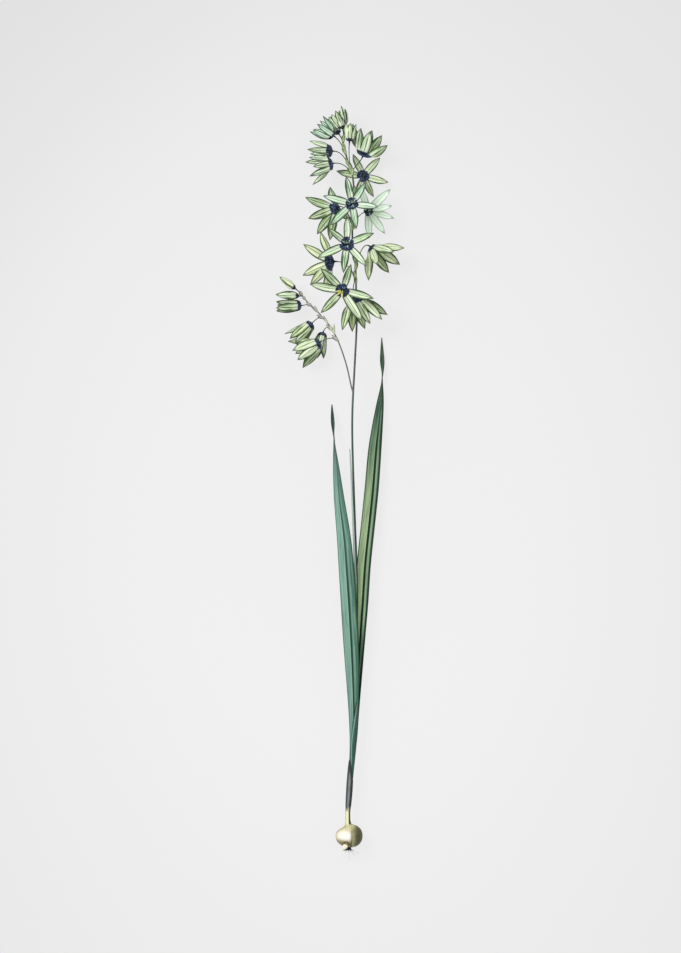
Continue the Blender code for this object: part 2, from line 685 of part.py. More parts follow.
def main():
    clear_scene()
    plant = bpy.data.collections.new("ixia_plant")
    cutters = bpy.data.collections.new("cutters")
    for group in (plant, cutters):
        bpy.context.scene.collection.children.link(group)
    make_corm(plant, cutters)
    make_root_plate(plant)
    make_sheath(plant)
    make_leaf("left_leaf", LEFT_LEAF, plant)
    make_leaf("right_leaf", RIGHT_LEAF, plant)
    make_leaf("stem_leaf", stem_leaf_route(), plant)
    make_stem(plant)
    make_branch(plant)
    stamens = stamen_cluster()
    for bloom in SPIKE_BLOOMS + SIDE_BLOOMS:
        make_bloom(bloom, plant)
        if bloom.lean > OPEN_LEAN:
            cluster = add_object(bloom.name + "_stamens", stamens, "anther_yellow", ANTHER_YELLOW, plant)
            floor = Matrix.Translation((0, 0, bloom.habit.floor))
            cluster.matrix_world = facing_matrix(in_metres(bloom.place), bloom.facing) @ floor
    for bud in SPIKE_BUDS + SIDE_BUDS:
        make_bud(bud, plant)


main()
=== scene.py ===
import math
import random
from collections import namedtuple

import bmesh
import bpy
from mathutils import Matrix, Vector


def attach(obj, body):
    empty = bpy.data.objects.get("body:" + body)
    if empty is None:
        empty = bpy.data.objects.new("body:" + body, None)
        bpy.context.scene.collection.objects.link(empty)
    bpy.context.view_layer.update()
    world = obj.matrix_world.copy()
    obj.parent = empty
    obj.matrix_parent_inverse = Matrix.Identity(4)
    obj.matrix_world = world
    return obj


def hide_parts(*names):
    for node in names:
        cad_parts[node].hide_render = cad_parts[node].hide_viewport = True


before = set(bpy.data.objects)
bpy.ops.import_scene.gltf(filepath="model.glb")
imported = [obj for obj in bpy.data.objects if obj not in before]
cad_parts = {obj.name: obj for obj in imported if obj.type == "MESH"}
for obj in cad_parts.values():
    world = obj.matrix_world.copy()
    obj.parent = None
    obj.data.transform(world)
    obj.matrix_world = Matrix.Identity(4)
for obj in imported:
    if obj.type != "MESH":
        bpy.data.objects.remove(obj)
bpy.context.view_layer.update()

# The corm: the plant's round store of starch in a smooth thin skin. A furrow parts it into a pale lobe and
# an olive one, a young cormlet grows from its foot, and it draws in to the neck that carries the shoot.
# It is grown in one piece, and lies on the small flat spot under it.
MM = 0.001
CORM_MIDDLE = Vector((-0.4, 0.0, 8.8))
CORM_STEPS_ROUND = 96
CORM_ROWS = 60
SEAM_X = 1.2
# Distance from the corm's axis and height along it, in mm, from the foot to the top of the neck.
RIGHT_LOBE = (
    (0.05, -7.5), (3.6, -7.45), (6.9, -5.7), (8.7, -3.0), (9.15, 0.0), (8.8, 2.6), (7.6, 4.9),
    (5.6, 6.5), (3.5, 7.4), (2.1, 8.2), (1.72, 9.6), (1.62, 13.0), (1.64, 16.7),
)  # fmt: skip
LEFT_LOBE = (
    (0.05, -7.4), (3.3, -7.1), (6.2, -5.6), (8.2, -3.4), (8.9, -1.0), (8.7, 1.4), (7.6, 3.3),
    (5.7, 4.7), (3.8, 5.9), (2.4, 7.3), (1.78, 9.2), (1.62, 13.0), (1.64, 16.7),
)  # fmt: skip
CORMLET_PLACE = (-1.6, -3.9, 5.4)
CORMLET_FACING = (250, -6)
CORMLET_LENGTH = 5.2
CORMLET_RADIUS = 1.75
CORMLET_BELLY = 0.45
CORMLET_STEPS_ROUND = 28
CORMLET_ROWS = 20
GLOSS = 0.16
RELIEF_STRENGTH = 0.6


class Tint:
    """One socket of a finish. Sums written on it become Math nodes."""

    def __init__(self, tree, socket=None):
        self.tree = tree
        self.socket = socket

    def node(self, kind, settings, sockets, out=0):
        """Any other node: its settings first, then the values or links of its sockets."""
        made = self.tree.nodes.new(kind)
        for key, value in settings.items():
            setattr(made, key, value)
        for key, value in sockets.items():
            if isinstance(value, Tint):
                self.tree.links.new(value.socket, made.inputs[key])
            else:
                made.inputs[key].default_value = value
        return Tint(self.tree, made.outputs[out])

    def sum(self, operation, *values):
        return self.node("ShaderNodeMath", {"operation": operation}, dict(enumerate(values)))

    def __add__(self, other):
        return self.sum("ADD", self, other)

    def __sub__(self, other):
        return self.sum("SUBTRACT", self, other)

    def __rsub__(self, other):
        return self.sum("SUBTRACT", other, self)

    def __mul__(self, other):
        return self.sum("MULTIPLY", self, other)

    def __truediv__(self, other):
        return self.sum("DIVIDE", self, other)

    def __pow__(self, other):
        return self.sum("POWER", self, other)

    def __abs__(self):
        return self.sum("ABSOLUTE", self)

    __radd__ = __add__
    __rmul__ = __mul__

    def sine(self):
        return self.sum("SINE", self)

    def rise(self, low, high):
        """0 below low, 1 above high, and smooth between."""
        settings = {"interpolation_type": "SMOOTHSTEP"}
        return self.node("ShaderNodeMapRange", settings, {"Value": self, "From Min": low, "From Max": high})

    def near(self, value, width):
        """1 at a value, falling smoothly to 0 at that width from it."""
        return 1 - abs(self - value).rise(0.0, width)

    def blend(self, first, second):
        """The first colour where this is 0 and the second where it is 1."""
        return self.node("ShaderNodeMix", {"data_type": "RGBA"}, {0: self, 6: first, 7: second}, 2)

    def parts(self):
        made = self.node("ShaderNodeSeparateXYZ", {}, {0: self}).socket.node
        return [Tint(self.tree, socket) for socket in made.outputs]

    def attribute(self, name):
        return self.node("ShaderNodeAttribute", {"attribute_name": name}, {}, "Vector")

    def place(self):
        """Where a point of the plant is, in metres."""
        return self.node("ShaderNodeTexCoord", {}, {}, "Object")

    def at(self, x, y, z):
        return self.node("ShaderNodeCombineXYZ", {}, {0: x, 1: y, 2: z})

    def speckle(self, scale, detail=3.0, roughness=0.55):
        """Soft noise from 0 to 1 at this place, with so many grains to each unit of length."""
        sockets = {"Vector": self, "Scale": scale, "Detail": detail, "Roughness": roughness}
        return self.node("ShaderNodeTexNoise", {}, sockets, "Fac")


def seen(red, green, blue):
    """A colour as it looks on a screen, from 0 to 255, as the linear values that a shader takes."""
    return (*(((v / 255 + 0.055) / 1.055) ** 2.4 if v > 10 else v / 3300 for v in (red, green, blue)), 1.0)


def start_finish(name):
    made = bpy.data.materials.new(name)
    made.use_nodes = True
    return made, Tint(made.node_tree)


def close_finish(finish, colour, roughness, relief, depth, sheen=0.0):
    """Gives the finish its colour, its roughness and a relief of that depth in mm."""
    shader = finish.node_tree.nodes["Principled BSDF"]
    sockets = {"Strength": RELIEF_STRENGTH, "Distance": depth * MM, "Height": relief}
    bump = relief.node("ShaderNodeBump", {}, sockets, "Normal")
    for key, tint in (("Base Color", colour), ("Roughness", roughness), ("Normal", bump)):
        finish.node_tree.links.new(tint.socket, shader.inputs[key])
    shader.inputs["Specular IOR Level"].default_value = GLOSS
    shader.inputs["Sheen Weight"].default_value = sheen
    return finish


def curve_value(p, q, r, s, t):
    """A Catmull-Rom curve's value at the share t of its way from q to r."""
    bend = (2 * p - 5 * q + 4 * r - s) * t * t
    swing = (3 * q - p - 3 * r + s) * t**3
    return 0.5 * (2 * q + (r - p) * t + bend + swing)


def smooth_route(route, count):
    """Evenly spaced rows on a smooth curve through the rows of a route, whatever a row holds."""
    rows = [tuple(map(float, row)) for row in route]
    rows = [rows[0], *rows, rows[-1]]
    spans = len(rows) - 3
    sampled = []
    for step in range(count):
        along = step / (count - 1) * spans
        span = min(int(along), spans - 1)
        held = zip(*rows[span : span + 4])
        sampled.append(tuple(curve_value(*values, along - span) for values in held))
    return sampled


def soft_step(value, low, high):
    t = min(1.0, max(0.0, (value - low) / (high - low)))
    return t * t * (3 - 2 * t)


def facing_matrix(place, facing, flatness=1.0):
    """Turns +Z to the way a flower faces, tilting it straight over, and sets it at its place."""
    azimuth, elevation = map(math.radians, facing)
    hinge = Vector((-math.sin(azimuth), math.cos(azimuth), 0.0))
    pressed = Matrix.Scale(flatness, 4, (0, 0, 1))
    tilted = Matrix.Rotation(math.pi / 2 - elevation, 4, hinge)
    return Matrix.Translation(Vector(place) * MM) @ pressed @ tilted


def skin_over(bm, rows, closed=False, ends=0):
    """The faces between rows of points. A closed skin has a face over its first end, or over both ends."""
    if ends:
        bm.faces.new(rows[0])
    for before, row in zip(rows, rows[1:]):
        for k in range(len(row) if closed else len(row) - 1):
            after = (k + 1) % len(row)
            bm.faces.new((before[k], row[k], row[after], before[after]))
    if ends == 2:
        bm.faces.new(rows[-1])


def grow(name, bm, finish, slot, *nodes, thickness=0.0):
    """Makes a piece of the plant from its mesh, and lets it stand for its solids."""
    bmesh.ops.recalc_face_normals(bm, faces=bm.faces)
    mesh = bpy.data.meshes.new(name)
    bm.to_mesh(mesh)
    bm.free()
    mesh.shade_smooth()
    mesh.materials.append(finish)
    piece = bpy.data.objects.new(name, mesh)
    bpy.context.scene.collection.objects.link(piece)
    if thickness:
        shell = piece.modifiers.new("thickness", "SOLIDIFY")
        shell.thickness = thickness * MM
        shell.offset = 0.0
    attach(piece, "root")
    if nodes:
        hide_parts(*nodes)


def add_corm(bm):
    rows = []
    right_rows = smooth_route(RIGHT_LOBE, CORM_ROWS)
    left_rows = smooth_route(LEFT_LOBE, CORM_ROWS)
    for (right, right_up), (left, left_up) in zip(right_rows, left_rows):
        seam = SEAM_X + 0.5 * math.cos(right_up / 6)
        body = soft_step(right, 2.2, 5.0)
        row = []
        for k in range(CORM_STEPS_ROUND):
            angle = math.tau * k / CORM_STEPS_ROUND
            across = right * math.sin(angle)
            share = soft_step(across, seam - 0.3, seam + 1.0)
            radius = left + (right - left) * share
            up = left_up + (right_up - left_up) * share
            radius += body * 0.3 * math.exp(-(((across - seam + 1.6) / 1.1) ** 2))
            radius -= body * 0.8 * math.exp(-(((across - seam) / 0.42) ** 2))
            point = CORM_MIDDLE + Vector((radius * math.sin(angle), up, radius * math.cos(angle)))
            point.x -= 0.75 * soft_step(up, 4.5, 12.0)
            point.z = max(0.0, point.z)
            row.append(bm.verts.new(point * MM))
        rows.append(row)
    skin_over(bm, rows, closed=True, ends=2)


def add_cormlet(bm):
    """A small spindle that leans out of the corm's foot."""
    seat = facing_matrix(CORM_MIDDLE + Vector(CORMLET_PLACE), CORMLET_FACING)
    rows = []
    for j in range(CORMLET_ROWS + 1):
        share = min(0.985, max(0.015, j / CORMLET_ROWS))
        stretch = share ** (math.log(0.5) / math.log(CORMLET_BELLY))
        width = math.sin(math.pi * stretch) ** 0.8 * CORMLET_RADIUS
        row = []
        for k in range(CORMLET_STEPS_ROUND):
            angle = math.tau * k / CORMLET_STEPS_ROUND
            up = j / CORMLET_ROWS * CORMLET_LENGTH
            point = Vector((width * math.cos(angle), width * math.sin(angle), up))
            row.append(bm.verts.new(seat @ (point * MM)))
        rows.append(row)
    skin_over(bm, rows, closed=True, ends=2)


def corm_finish():
    finish, start = start_finish("corm_skin")
    place = start.place()
    x, y, z = place.parts()
    x, y, z = x * 1000, y * 1000, z * 1000
    cormlet, _, _ = start.attribute("piece").parts()
    blotch = place.speckle(240.0)
    fibres = start.at(x * 2.4, y * 0.3, z * 2.4).speckle(1.4, 4.0)
    # Painted highlight: the pale lobe is near white round a spot on its upper left and creamier away from
    # it.
    highlight_reach = ((x + 3.0) ** 2.0 * 0.8 + (y - 0.4) ** 2.0 * 1.5) / 28 + blotch * 0.3
    pale = (highlight_reach - 0.15).rise(0.05, 1.15).blend(seen(255, 252, 242), seen(224, 216, 176))
    pale = (0.45 - y * 0.17 + blotch * 0.4).rise(0.7, 1.4).blend(pale, seen(138, 126, 82))
    # Painted shade: the pale lobe darkens down its flanks, away from the top.
    pale = (1 - z.rise(9.0, 12.4)).blend(pale, seen(132, 120, 76))
    # Painted shade: the olive lobe darkens towards its right-hand rim and is near black low on its flanks.
    olive = (x * 0.19 + blotch * 0.9 - 0.6).rise(0.0, 0.9).blend(seen(166, 164, 126), seen(82, 80, 52))
    olive = (1 - (z + blotch * 1.2).rise(9.0, 13.6)).blend(olive, seen(26, 22, 10))
    from_seam = x + 0.4 - SEAM_X - ((y / 6.0) + math.pi / 2).sine() * 0.5
    colour = from_seam.rise(-0.12, 0.2).blend(pale, olive)
    # Painted shade in the furrow between the lobes.
    furrow = from_seam.near(0.2, 0.6) * (1 - y.rise(3.6, 5.6)) * z.rise(11.0, 13.0)
    colour = (furrow * 0.8).blend(colour, seen(82, 74, 40))
    # Painted shade in the crevice along the cormlet's right-hand edge.
    crevice_shade = (x + y * 0.65 + 3.06).near(0.0, 0.62).rise(0.1, 0.6) * y.near(-5.5, 2.0).rise(0.0, 0.4)
    colour = (crevice_shade * 0.9).blend(colour, seen(30, 24, 8))
    # Painted shade in a ring round the cormlet's foot, on the corm's upper side.
    shade_ring = (((x + 2.4) ** 2.0 + (y + 4.7) ** 2.0) ** 0.5).near(1.7, 1.1) * z.rise(10.0, 12.0)
    colour = (shade_ring * 0.75).blend(colour, seen(78, 64, 32))
    throat = x.rise(-2.7, -2.0).blend(seen(172, 170, 120), seen(240, 240, 196))
    # Painted shade down the right-hand side of the neck.
    throat = (x.rise(-0.85, -0.35) * y.rise(6.8, 8.4)).blend(throat, seen(66, 54, 20))
    throat = ((1 - (y + blotch).rise(6.6, 9.6)) * 0.85).blend(throat, seen(178, 172, 116))
    colour = ((y + abs(x + 0.4) * 0.3).rise(5.2, 8.0) * (1 - x.rise(1.6, 4.8))).blend(colour, throat)
    # Painted highlight on the cormlet's upper side, painted shade lower down and towards its right.
    knob = (z + blotch - x * 0.4).rise(10.5, 14.5).blend(seen(138, 122, 72), seen(254, 252, 220))
    colour = cormlet.blend(colour, knob)
    colour = (fibres.rise(0.4, 0.7) * 0.2).blend(colour, seen(120, 108, 66))
    relief = fibres * 0.7 + place.speckle(1500.0) * 0.4
    return close_finish(finish, colour, 0.3 + blotch * 0.22, relief, 0.12)


body = bmesh.new()
piece = body.verts.layers.float_vector.new("piece")
add_corm(body)
corm_points = len(body.verts)
add_cormlet(body)
body.verts.ensure_lookup_table()
for vert in body.verts[corm_points:]:
    vert[piece] = (1.0, 0.0, 0.0)
grow("corm_body", body, corm_finish(), "corm", "corm")

# The root plate: what is left of last year's corm, a dark corky disc under the new one, with its fine pale
# roots. The roots grow from the disc, arch out and come down to the surface.
PLATE_TOP = Vector((-1.2, -7.7, 8.8))
PLATE_RADIUS = 2.4
PLATE_GIRTHS = (0.82, 0.97, 1.0, 0.97, 0.92, 0.86, 0.72)
PLATE_STEP = 0.3
ROOT_COUNT = 9
ROOT_LENGTH = 9.0
ROOT_RADIUS = 0.3
ROOT_TAPER = 0.2
ROOT_STEPS = 18


def frames_along(points):
    """A side and an upright at each point of a route, carried along without twisting."""
    last = len(points) - 1
    ways = [(points[min(i + 1, last)] - points[max(i - 1, 0)]).normalized() for i in range(last + 1)]
    side = ways[0].orthogonal().normalized()
    frames = []
    for way in ways:
        side = (side - way * side.dot(way)).normalized()
        frames.append((side, way.cross(side)))
    return frames


def add_rod(bm, points, radii, sides, mark=None):
    """A round rod through points in mm, closed at its ends. mark is a layer and a kind, and each point then
    keeps its share along the rod, the kind and its share round it."""
    rows = []
    for i, (point, (side, upright)) in enumerate(zip(points, frames_along(points))):
        row = []
        for k in range(sides):
            angle = math.tau * k / sides
            turned = side * math.cos(angle) + upright * math.sin(angle)
            vert = bm.verts.new((point + turned * radii[i]) * MM)
            if mark:
                vert[mark[0]] = (i / (len(points) - 1), mark[1], k / sides)
            row.append(vert)
        rows.append(row)
    skin_over(bm, rows, closed=True, ends=2)


def root_finish():
    finish, start = start_finish("root_tissue")
    place = start.place()
    _, y, _ = place.parts()
    grain = place.speckle(900.0)
    dark = grain.rise(0.35, 0.65).blend(seen(16, 28, 28), seen(58, 70, 64))
    pale = grain.rise(0.35, 0.65).blend(seen(244, 244, 240), seen(252, 252, 250))
    colour = (y * 1000).rise(-10.4, -9.4).blend(pale, dark)
    return close_finish(finish, colour, 0.6 + grain * 0.25, grain, 0.15)


roots = bmesh.new()
disc = []
for step in range(len(PLATE_GIRTHS)):
    disc.append(Vector((PLATE_TOP.x, PLATE_TOP.y - step * PLATE_STEP, PLATE_TOP.z)))
disc_radii = [PLATE_RADIUS * girth for girth in PLATE_GIRTHS]
add_rod(roots, disc, disc_radii, 32)
draw = random.Random(4)
for k in range(ROOT_COUNT):
    fan = math.radians(-70 + 140 * k / (ROOT_COUNT - 1) + draw.uniform(-6, 6))
    length = ROOT_LENGTH * draw.uniform(0.75, 1.1)
    start = PLATE_TOP + Vector((0.6 * PLATE_RADIUS * math.sin(fan), -1.2, draw.uniform(-1.2, 0.8)))
    drop = start.z - draw.uniform(0.8, 4.5)
    points = []
    for step in range(ROOT_STEPS + 1):
        t = step / ROOT_STEPS
        reach = Vector((math.sin(fan) * 0.8, -math.cos(fan) * 0.8 - 0.2, 0)) * length * math.sin(t * 1.3)
        sway = Vector((math.cos(fan), math.sin(fan), 0.5)) * 0.25 * math.sin(t * 9 + k * 1.7) * t
        points.append(start + reach + sway + Vector((0, 0, -drop * t**2)))
    radii = [ROOT_RADIUS - ROOT_TAPER * step / ROOT_STEPS for step in range(ROOT_STEPS + 1)]
    add_rod(roots, points, radii, 8)
grow("roots", roots, root_finish(), "roots", "root_plate")

# The sheath: a papery purple-grey tube round the foot of the shoot, cut slantwise to a point on its upper
# left. It grows from the neck of the corm, where it fades to a pale green, and holds the leaves together.
STEM_ROUTE = (
    (-0.9, 17.0, 9.0), (0.4, 38.2, 9.4), (2.4, 68.3, 10.1), (3.6, 91.8, 10.8), (4.6, 132.0, 12.3),
    (5.0, 158.8, 13.3), (4.6, 182.9, 14.2), (3.5, 212.4, 15.3), (1.9, 261.3, 16.8), (1.9, 286.8, 17.5),
    (3.5, 318.3, 18.5), (4.8, 346.4, 19.2), (4.3, 366.5, 19.7), (3.8, 383.2, 20.0), (1.9, 400.0, 20.0),
    (2.0, 423.4, 20.0), (2.8, 433.5, 20.0), (1.5, 444.2, 19.8), (-1.6, 453.6, 19.4), (-4.2, 464.3, 18.6),
    (-3.4, 473.6, 17.8),
)  # fmt: skip
SHEATH_FOOT = 16.7
SHEATH_LENGTH = 34.8
SHEATH_TIP = math.radians(128)
SHEATH_RADIUS = 1.42
SHEATH_RIBS = 12
SHEATH_THICKNESS = 0.32
SHEATH_STEPS_ROUND = 48
SHEATH_ROWS = 48


def sheath_mesh():
    bm = bmesh.new()
    skin = bm.verts.layers.float_vector.new("skin")
    route = [Vector(row) for row in smooth_route(STEM_ROUTE[:3], 90)]
    rows = []
    for j in range(SHEATH_ROWS + 1):
        share = j / SHEATH_ROWS
        row = []
        for k in range(SHEATH_STEPS_ROUND):
            angle = math.tau * k / SHEATH_STEPS_ROUND
            slant = 0.5 + 0.5 * math.cos(angle - SHEATH_TIP)
            height = SHEATH_FOOT + share * SHEATH_LENGTH * (0.58 + 0.42 * slant**2.5)
            centre = min(route, key=lambda point: abs(point.y - height))
            swell = 0.6 * math.sin(math.pi * (0.08 + 0.64 * share)) - 0.1 * (1 - soft_step(share, 0.0, 0.2))
            ribs = 0.04 * math.cos(angle * SHEATH_RIBS)
            depth = SHEATH_RADIUS + 1.33 * soft_step(share, 0.0, 0.35)
            place = (
                centre.x - 0.2 * (1 - share) + (SHEATH_RADIUS + swell + ribs) * math.cos(angle),
                height,
                centre.z + (depth + swell + ribs) * math.sin(angle),
            )
            vert = bm.verts.new(Vector(place) * MM)
            vert[skin] = (math.cos(angle), math.sin(angle), share)
            row.append(vert)
        rows.append(row)
    skin_over(bm, rows, closed=True)
    return bm


def sheath_finish():
    finish, start = start_finish("sheath_skin")
    side, front, share = start.attribute("skin").parts()
    _, y, _ = start.place().parts()
    y = y * 1000
    grain = start.at(side * 3.0, y * 0.08, front * 3.0).speckle(2.2, 4.0)
    colour = grain.rise(0.35, 0.65).blend(seen(62, 66, 70), seen(90, 93, 97))
    # Painted highlight: a paler band down the front of the tube, fading out towards its tip.
    highlight_stripe = (side + 0.12).near(0.0, 0.5) * (1 - share.rise(0.7, 0.9))
    colour = highlight_stripe.blend(colour, grain.rise(0.3, 0.7).blend(seen(118, 124, 124), seen(150, 156, 154)))
    # Painted shade on the tube's sides, broad and dark on the right, narrower on the left.
    colour = (side.rise(0.2, 0.7) * 0.95).blend(colour, seen(32, 36, 36))
    colour = ((0 - side).rise(0.55, 0.9) * 0.85).blend(colour, seen(44, 48, 48))
    colour = (share.rise(0.66, 0.92) * 0.85).blend(colour, seen(44, 52, 50))
    foot = 1 - (y + grain * 2.4 - side * 1.2).rise(16.4, 21.6)
    # The foot is pale cream, with painted shade on its right-hand side.
    cream = side.rise(0.2, 0.6).blend(seen(228, 228, 190), seen(88, 78, 42))
    colour = foot.blend(colour, cream)
    ribs = (side * 30).sine() * 0.4 + grain
    return close_finish(finish, colour, 0.45 + grain * 0.25, ribs, 0.1)


grow("papery_sheath", sheath_mesh(), sheath_finish(), "sheath", "sheath", thickness=SHEATH_THICKNESS)

# The leaves: two long sword-shaped blades and one slender leaf on the stem, all thin, tough and finely
# ribbed. A blade is gutter-shaped at its foot, folded along its midrib, and twists once near its tip.
# The right-hand leaf clasps the shoot, so its foot wraps over the front of the left-hand one.
LEAF_ROWS = 150
LEAF_STEPS_ACROSS = 24
LEAF_THICKNESS = 0.5
Leaf = namedtuple("Leaf", "name node route rib stops light rib_top line margin")
# A leaf's centre line in mm, then its half width, how far it is gutter-shaped, and its roll, in degrees.
LEFT_LEAF = (
    (-0.9, 17.3, 9.5, 0.8, 50, 0), (-0.3, 26.0, 10.5, 1.1, 50, 0), (0.4, 38.2, 10.9, 1.25, 50, 0),
    (1.7, 53.0, 11.6, 1.8, 50, 0), (2.7, 69.0, 12.3, 2.8, 45, 0), (2.6, 91.8, 13.4, 3.9, 34, 0),
    (0.9, 132.0, 15.9, 5.3, 28, 0),
    (-1.8, 174.9, 18.0, 5.2, 25, 0), (-3.8, 200.3, 17.4, 4.7, 24, 0), (-6.9, 225.8, 14.8, 3.5, 22, 0),
    (-8.6, 243.9, 11.6, 2.4, 18, 12), (-10.3, 267.3, 8.0, 1.3, 10, 90), (-11.4, 279.4, 5.8, 1.2, 8, 165),
    (-11.9, 290.1, 3.6, 0.25, 8, 180),
)  # fmt: skip
RIGHT_LEAF = (
    (-0.9, 17.3, 8.4, 0.8, -50, 0), (-0.3, 26.0, 7.7, 1.1, -50, 0), (0.4, 38.2, 7.9, 1.25, -50, 0),
    (1.5, 53.0, 8.1, 1.6, -50, 0),
    (2.9, 68.3, 8.3, 2.4, -46, 0), (4.2, 91.8, 8.5, 3.0, -36, 0), (6.2, 132.0, 9.0, 4.3, -30, 4),
    (7.8, 157.5, 9.2, 4.8, -28, 8), (9.4, 182.9, 9.0, 4.9, -26, 10), (12.5, 212.4, 8.4, 4.9, -25, 10),
    (14.8, 235.2, 7.8, 4.9, -24, 10), (17.0, 261.3, 6.8, 4.5, -22, 10), (20.0, 286.8, 5.4, 2.9, -20, 15),
    (21.9, 308.2, 3.9, 1.3, -12, 90), (22.0, 320.9, 2.6, 1.5, -10, 168), (21.7, 335.3, 1.4, 0.25, -10, 180),
)  # fmt: skip
# The stem leaf: distance along, half width, bend, roll and distance from the stem's middle.
STEM_LEAF = (
    (158.0, 0.2, 40, -50, 0.7), (164.0, 0.8, 60, -50, 1.1), (172.0, 1.2, 56, -52, 1.45),
    (184.0, 1.2, 44, -56, 1.65), (196.0, 1.25, 44, -60, 1.65), (212.0, 1.15, 40, -62, 1.65),
    (232.0, 0.9, 30, -60, 1.7), (250.0, 0.6, 18, -60, 1.9), (260.0, 0.25, 8, -60, 2.1),
)  # fmt: skip
# The clasping foot, in mm: height along the shoot, its seam, its right-hand edge and how high its crown is.
CLASP = (
    (33.0, 0.2, 1.5, 11.5), (38.2, 0.1, 2.1, 11.7), (46.0, 0.2, 2.9, 12.1), (52.0, 0.3, 3.55, 12.5),
    (59.6, 0.6, 4.3, 13.1), (68.0, 1.3, 4.9, 13.6), (76.0, 2.3, 5.5, 14.0), (84.0, 3.5, 5.8, 14.3),
    (90.0, 4.5, 5.9, 14.2),
)  # fmt: skip
CLASP_ROWS = 60
CLASP_STEPS_ACROSS = 14
CLASP_HALF = 1.9
CLASP_SHARE = 0.18


def add_blade(bm, blade, route, rib):
    """A blade with a raised midrib. Points keep their place across, their share along, and 0 for a blade."""
    stations = smooth_route(route, LEAF_ROWS)
    centres = [Vector(station[:3]) for station in stations]
    rows = []
    for i, (_, _, _, half, bend, roll) in enumerate(stations):
        way = (centres[min(i + 1, LEAF_ROWS - 1)] - centres[max(i - 1, 0)]).normalized()
        side = way.cross(Vector((0, 0, 1))).normalized()
        normal = side.cross(way).normalized()
        twist = Matrix.Rotation(math.radians(roll), 3, way)
        side = twist @ side
        normal = twist @ normal
        curve = math.radians(bend) if abs(bend) > 1 else math.radians(1)
        row = []
        for k in range(LEAF_STEPS_ACROSS + 1):
            u = 2 * k / LEAF_STEPS_ACROSS - 1
            sideways = math.sin(curve * u) / curve * half
            sunk = (1 - math.cos(curve * u)) / curve * half + 0.1 * abs(u) * half * math.copysign(1, bend)
            ridge = 0.16 * math.exp(-(((u - rib) / 0.09) ** 2)) + 0.03 * math.cos(u * 34)
            ridge *= min(1.0, half / 3)
            vert = bm.verts.new((centres[i] + side * sideways - normal * (sunk - ridge)) * MM)
            vert[blade] = (u, i / (LEAF_ROWS - 1), 0.0)
            row.append(vert)
        rows.append(row)
    skin_over(bm, rows)


def add_clasp(bm, blade):
    """The right-hand leaf's foot, wrapped over the front of the left-hand one as far as a slanting seam.
    Its points keep 1 for the clasp."""
    rows = []
    for along, seam, edge, crown in smooth_route(CLASP, CLASP_ROWS):
        middle = edge - CLASP_HALF
        height = 8.6 + (along - 33.0) * 0.004
        reach = math.acos(max(-0.98, min(0.98, (seam - middle) / (edge - middle))))
        row = []
        for k in range(CLASP_STEPS_ACROSS + 1):
            angle = reach * k / CLASP_STEPS_ACROSS
            x = middle + (edge - middle) * math.cos(angle)
            z = height + (crown - height) * math.sin(angle) ** 0.8
            vert = bm.verts.new(Vector((x, along, z)) * MM)
            vert[blade] = (1.0 - 2.0 * k / CLASP_STEPS_ACROSS, CLASP_SHARE, 1.0)
            row.append(vert)
        rows.append(row)
    skin_over(bm, rows)


def leaf_finish(leaf):
    """A ribbed blade. Its left part, its right part and its dark lines change colour with the height. The
    right part is darker by painted shade; a painted highlight runs beside the midrib, painted shade lies
    along the margins, and the clasp has both.
    """
    finish, start = start_finish(leaf.name + "_skin")
    across, _, clasping = start.attribute("blade").parts()
    _, y, _ = start.place().parts()
    y = y * 1000
    rib, line, margin = leaf.rib, leaf.line, leaf.margin
    streaks = start.at(across * 4.2, y * 0.02, 0.0).speckle(1.9, 5.0)
    broad = start.at(across * 1.5, y * 0.012, 3.0).speckle(1.6, 2.0)
    veins = (across * 58).sine()

    def painted(stops):
        colour = stops[0][1]
        for (low, _), (high, after) in zip(stops, stops[1:]):
            colour = y.rise(low, high).blend(colour, after)
        return colour

    left, right, dark = map(painted, leaf.stops)
    # The right part is darker than the left: painted shade on the half of the folded blade turned from the
    # light.
    far_side = across.rise(rib - 0.02, rib + 0.05)
    colour = far_side.blend(left, right)
    colour = (streaks.rise(0.52, 0.68) * 0.55).blend(colour, leaf.light)
    colour = ((1 - streaks.rise(0.34, 0.46)) * 0.5).blend(colour, dark)
    colour = (broad.rise(0.5, 0.75) * 0.35).blend(colour, dark)
    colour = (veins.rise(0.3, 1.0) * 0.2).blend(colour, dark)
    ribbed = (1 - y.rise(leaf.rib_top - 40, leaf.rib_top)) * (1 - clasping)
    # Painted highlight: a thin pale line just left of the midrib.
    colour = (across.near(rib - line * 0.65, 0.09) * ribbed * 0.6).blend(colour, leaf.light)
    colour = (across.near(rib + line / 6, line).rise(0.06, 0.4) * ribbed).blend(colour, dark)
    colour = (across.near(rib + 0.3, 0.2) * ribbed * 0.3).blend(colour, leaf.light)
    # Painted shade along both margins, wider and darker on the right.
    colour = (across.rise(margin, margin + 0.16) * 0.95).blend(colour, dark)
    colour = ((0 - across).rise(0.84, 0.96) * 0.8).blend(colour, dark)
    # The clasp: painted highlight along a band near its crown, painted shade at its seam edge and down its
    # right-hand side.
    wrap = (1 - streaks.rise(0.35, 0.65)).blend(seen(68, 108, 96), seen(42, 78, 68))
    wrap = ((0 - across).near(0.52, 0.22) * 0.7).blend(wrap, seen(152, 186, 172))
    wrap = ((0 - across).rise(0.8, 0.96)).blend(wrap, seen(34, 62, 52))
    wrap = across.rise(0.0, 0.6).blend(wrap, seen(34, 60, 50))
    colour = clasping.blend(colour, wrap)
    relief = veins * 0.35 + streaks
    return close_finish(finish, colour, 0.42 + streaks * 0.22, relief, 0.1)


def stem_leaf():
    stem = [Vector(row) for row in smooth_route(STEM_ROUTE, 400)]
    rows = []
    for along, half, bend, roll, offset in STEM_LEAF:
        middle = min(stem, key=lambda point: abs(point.y - along))
        x = middle.x + offset * math.sin(math.radians(roll))
        z = middle.z + offset * math.cos(math.radians(roll))
        rows.append((x, along, z, half, bend, roll))
    return rows
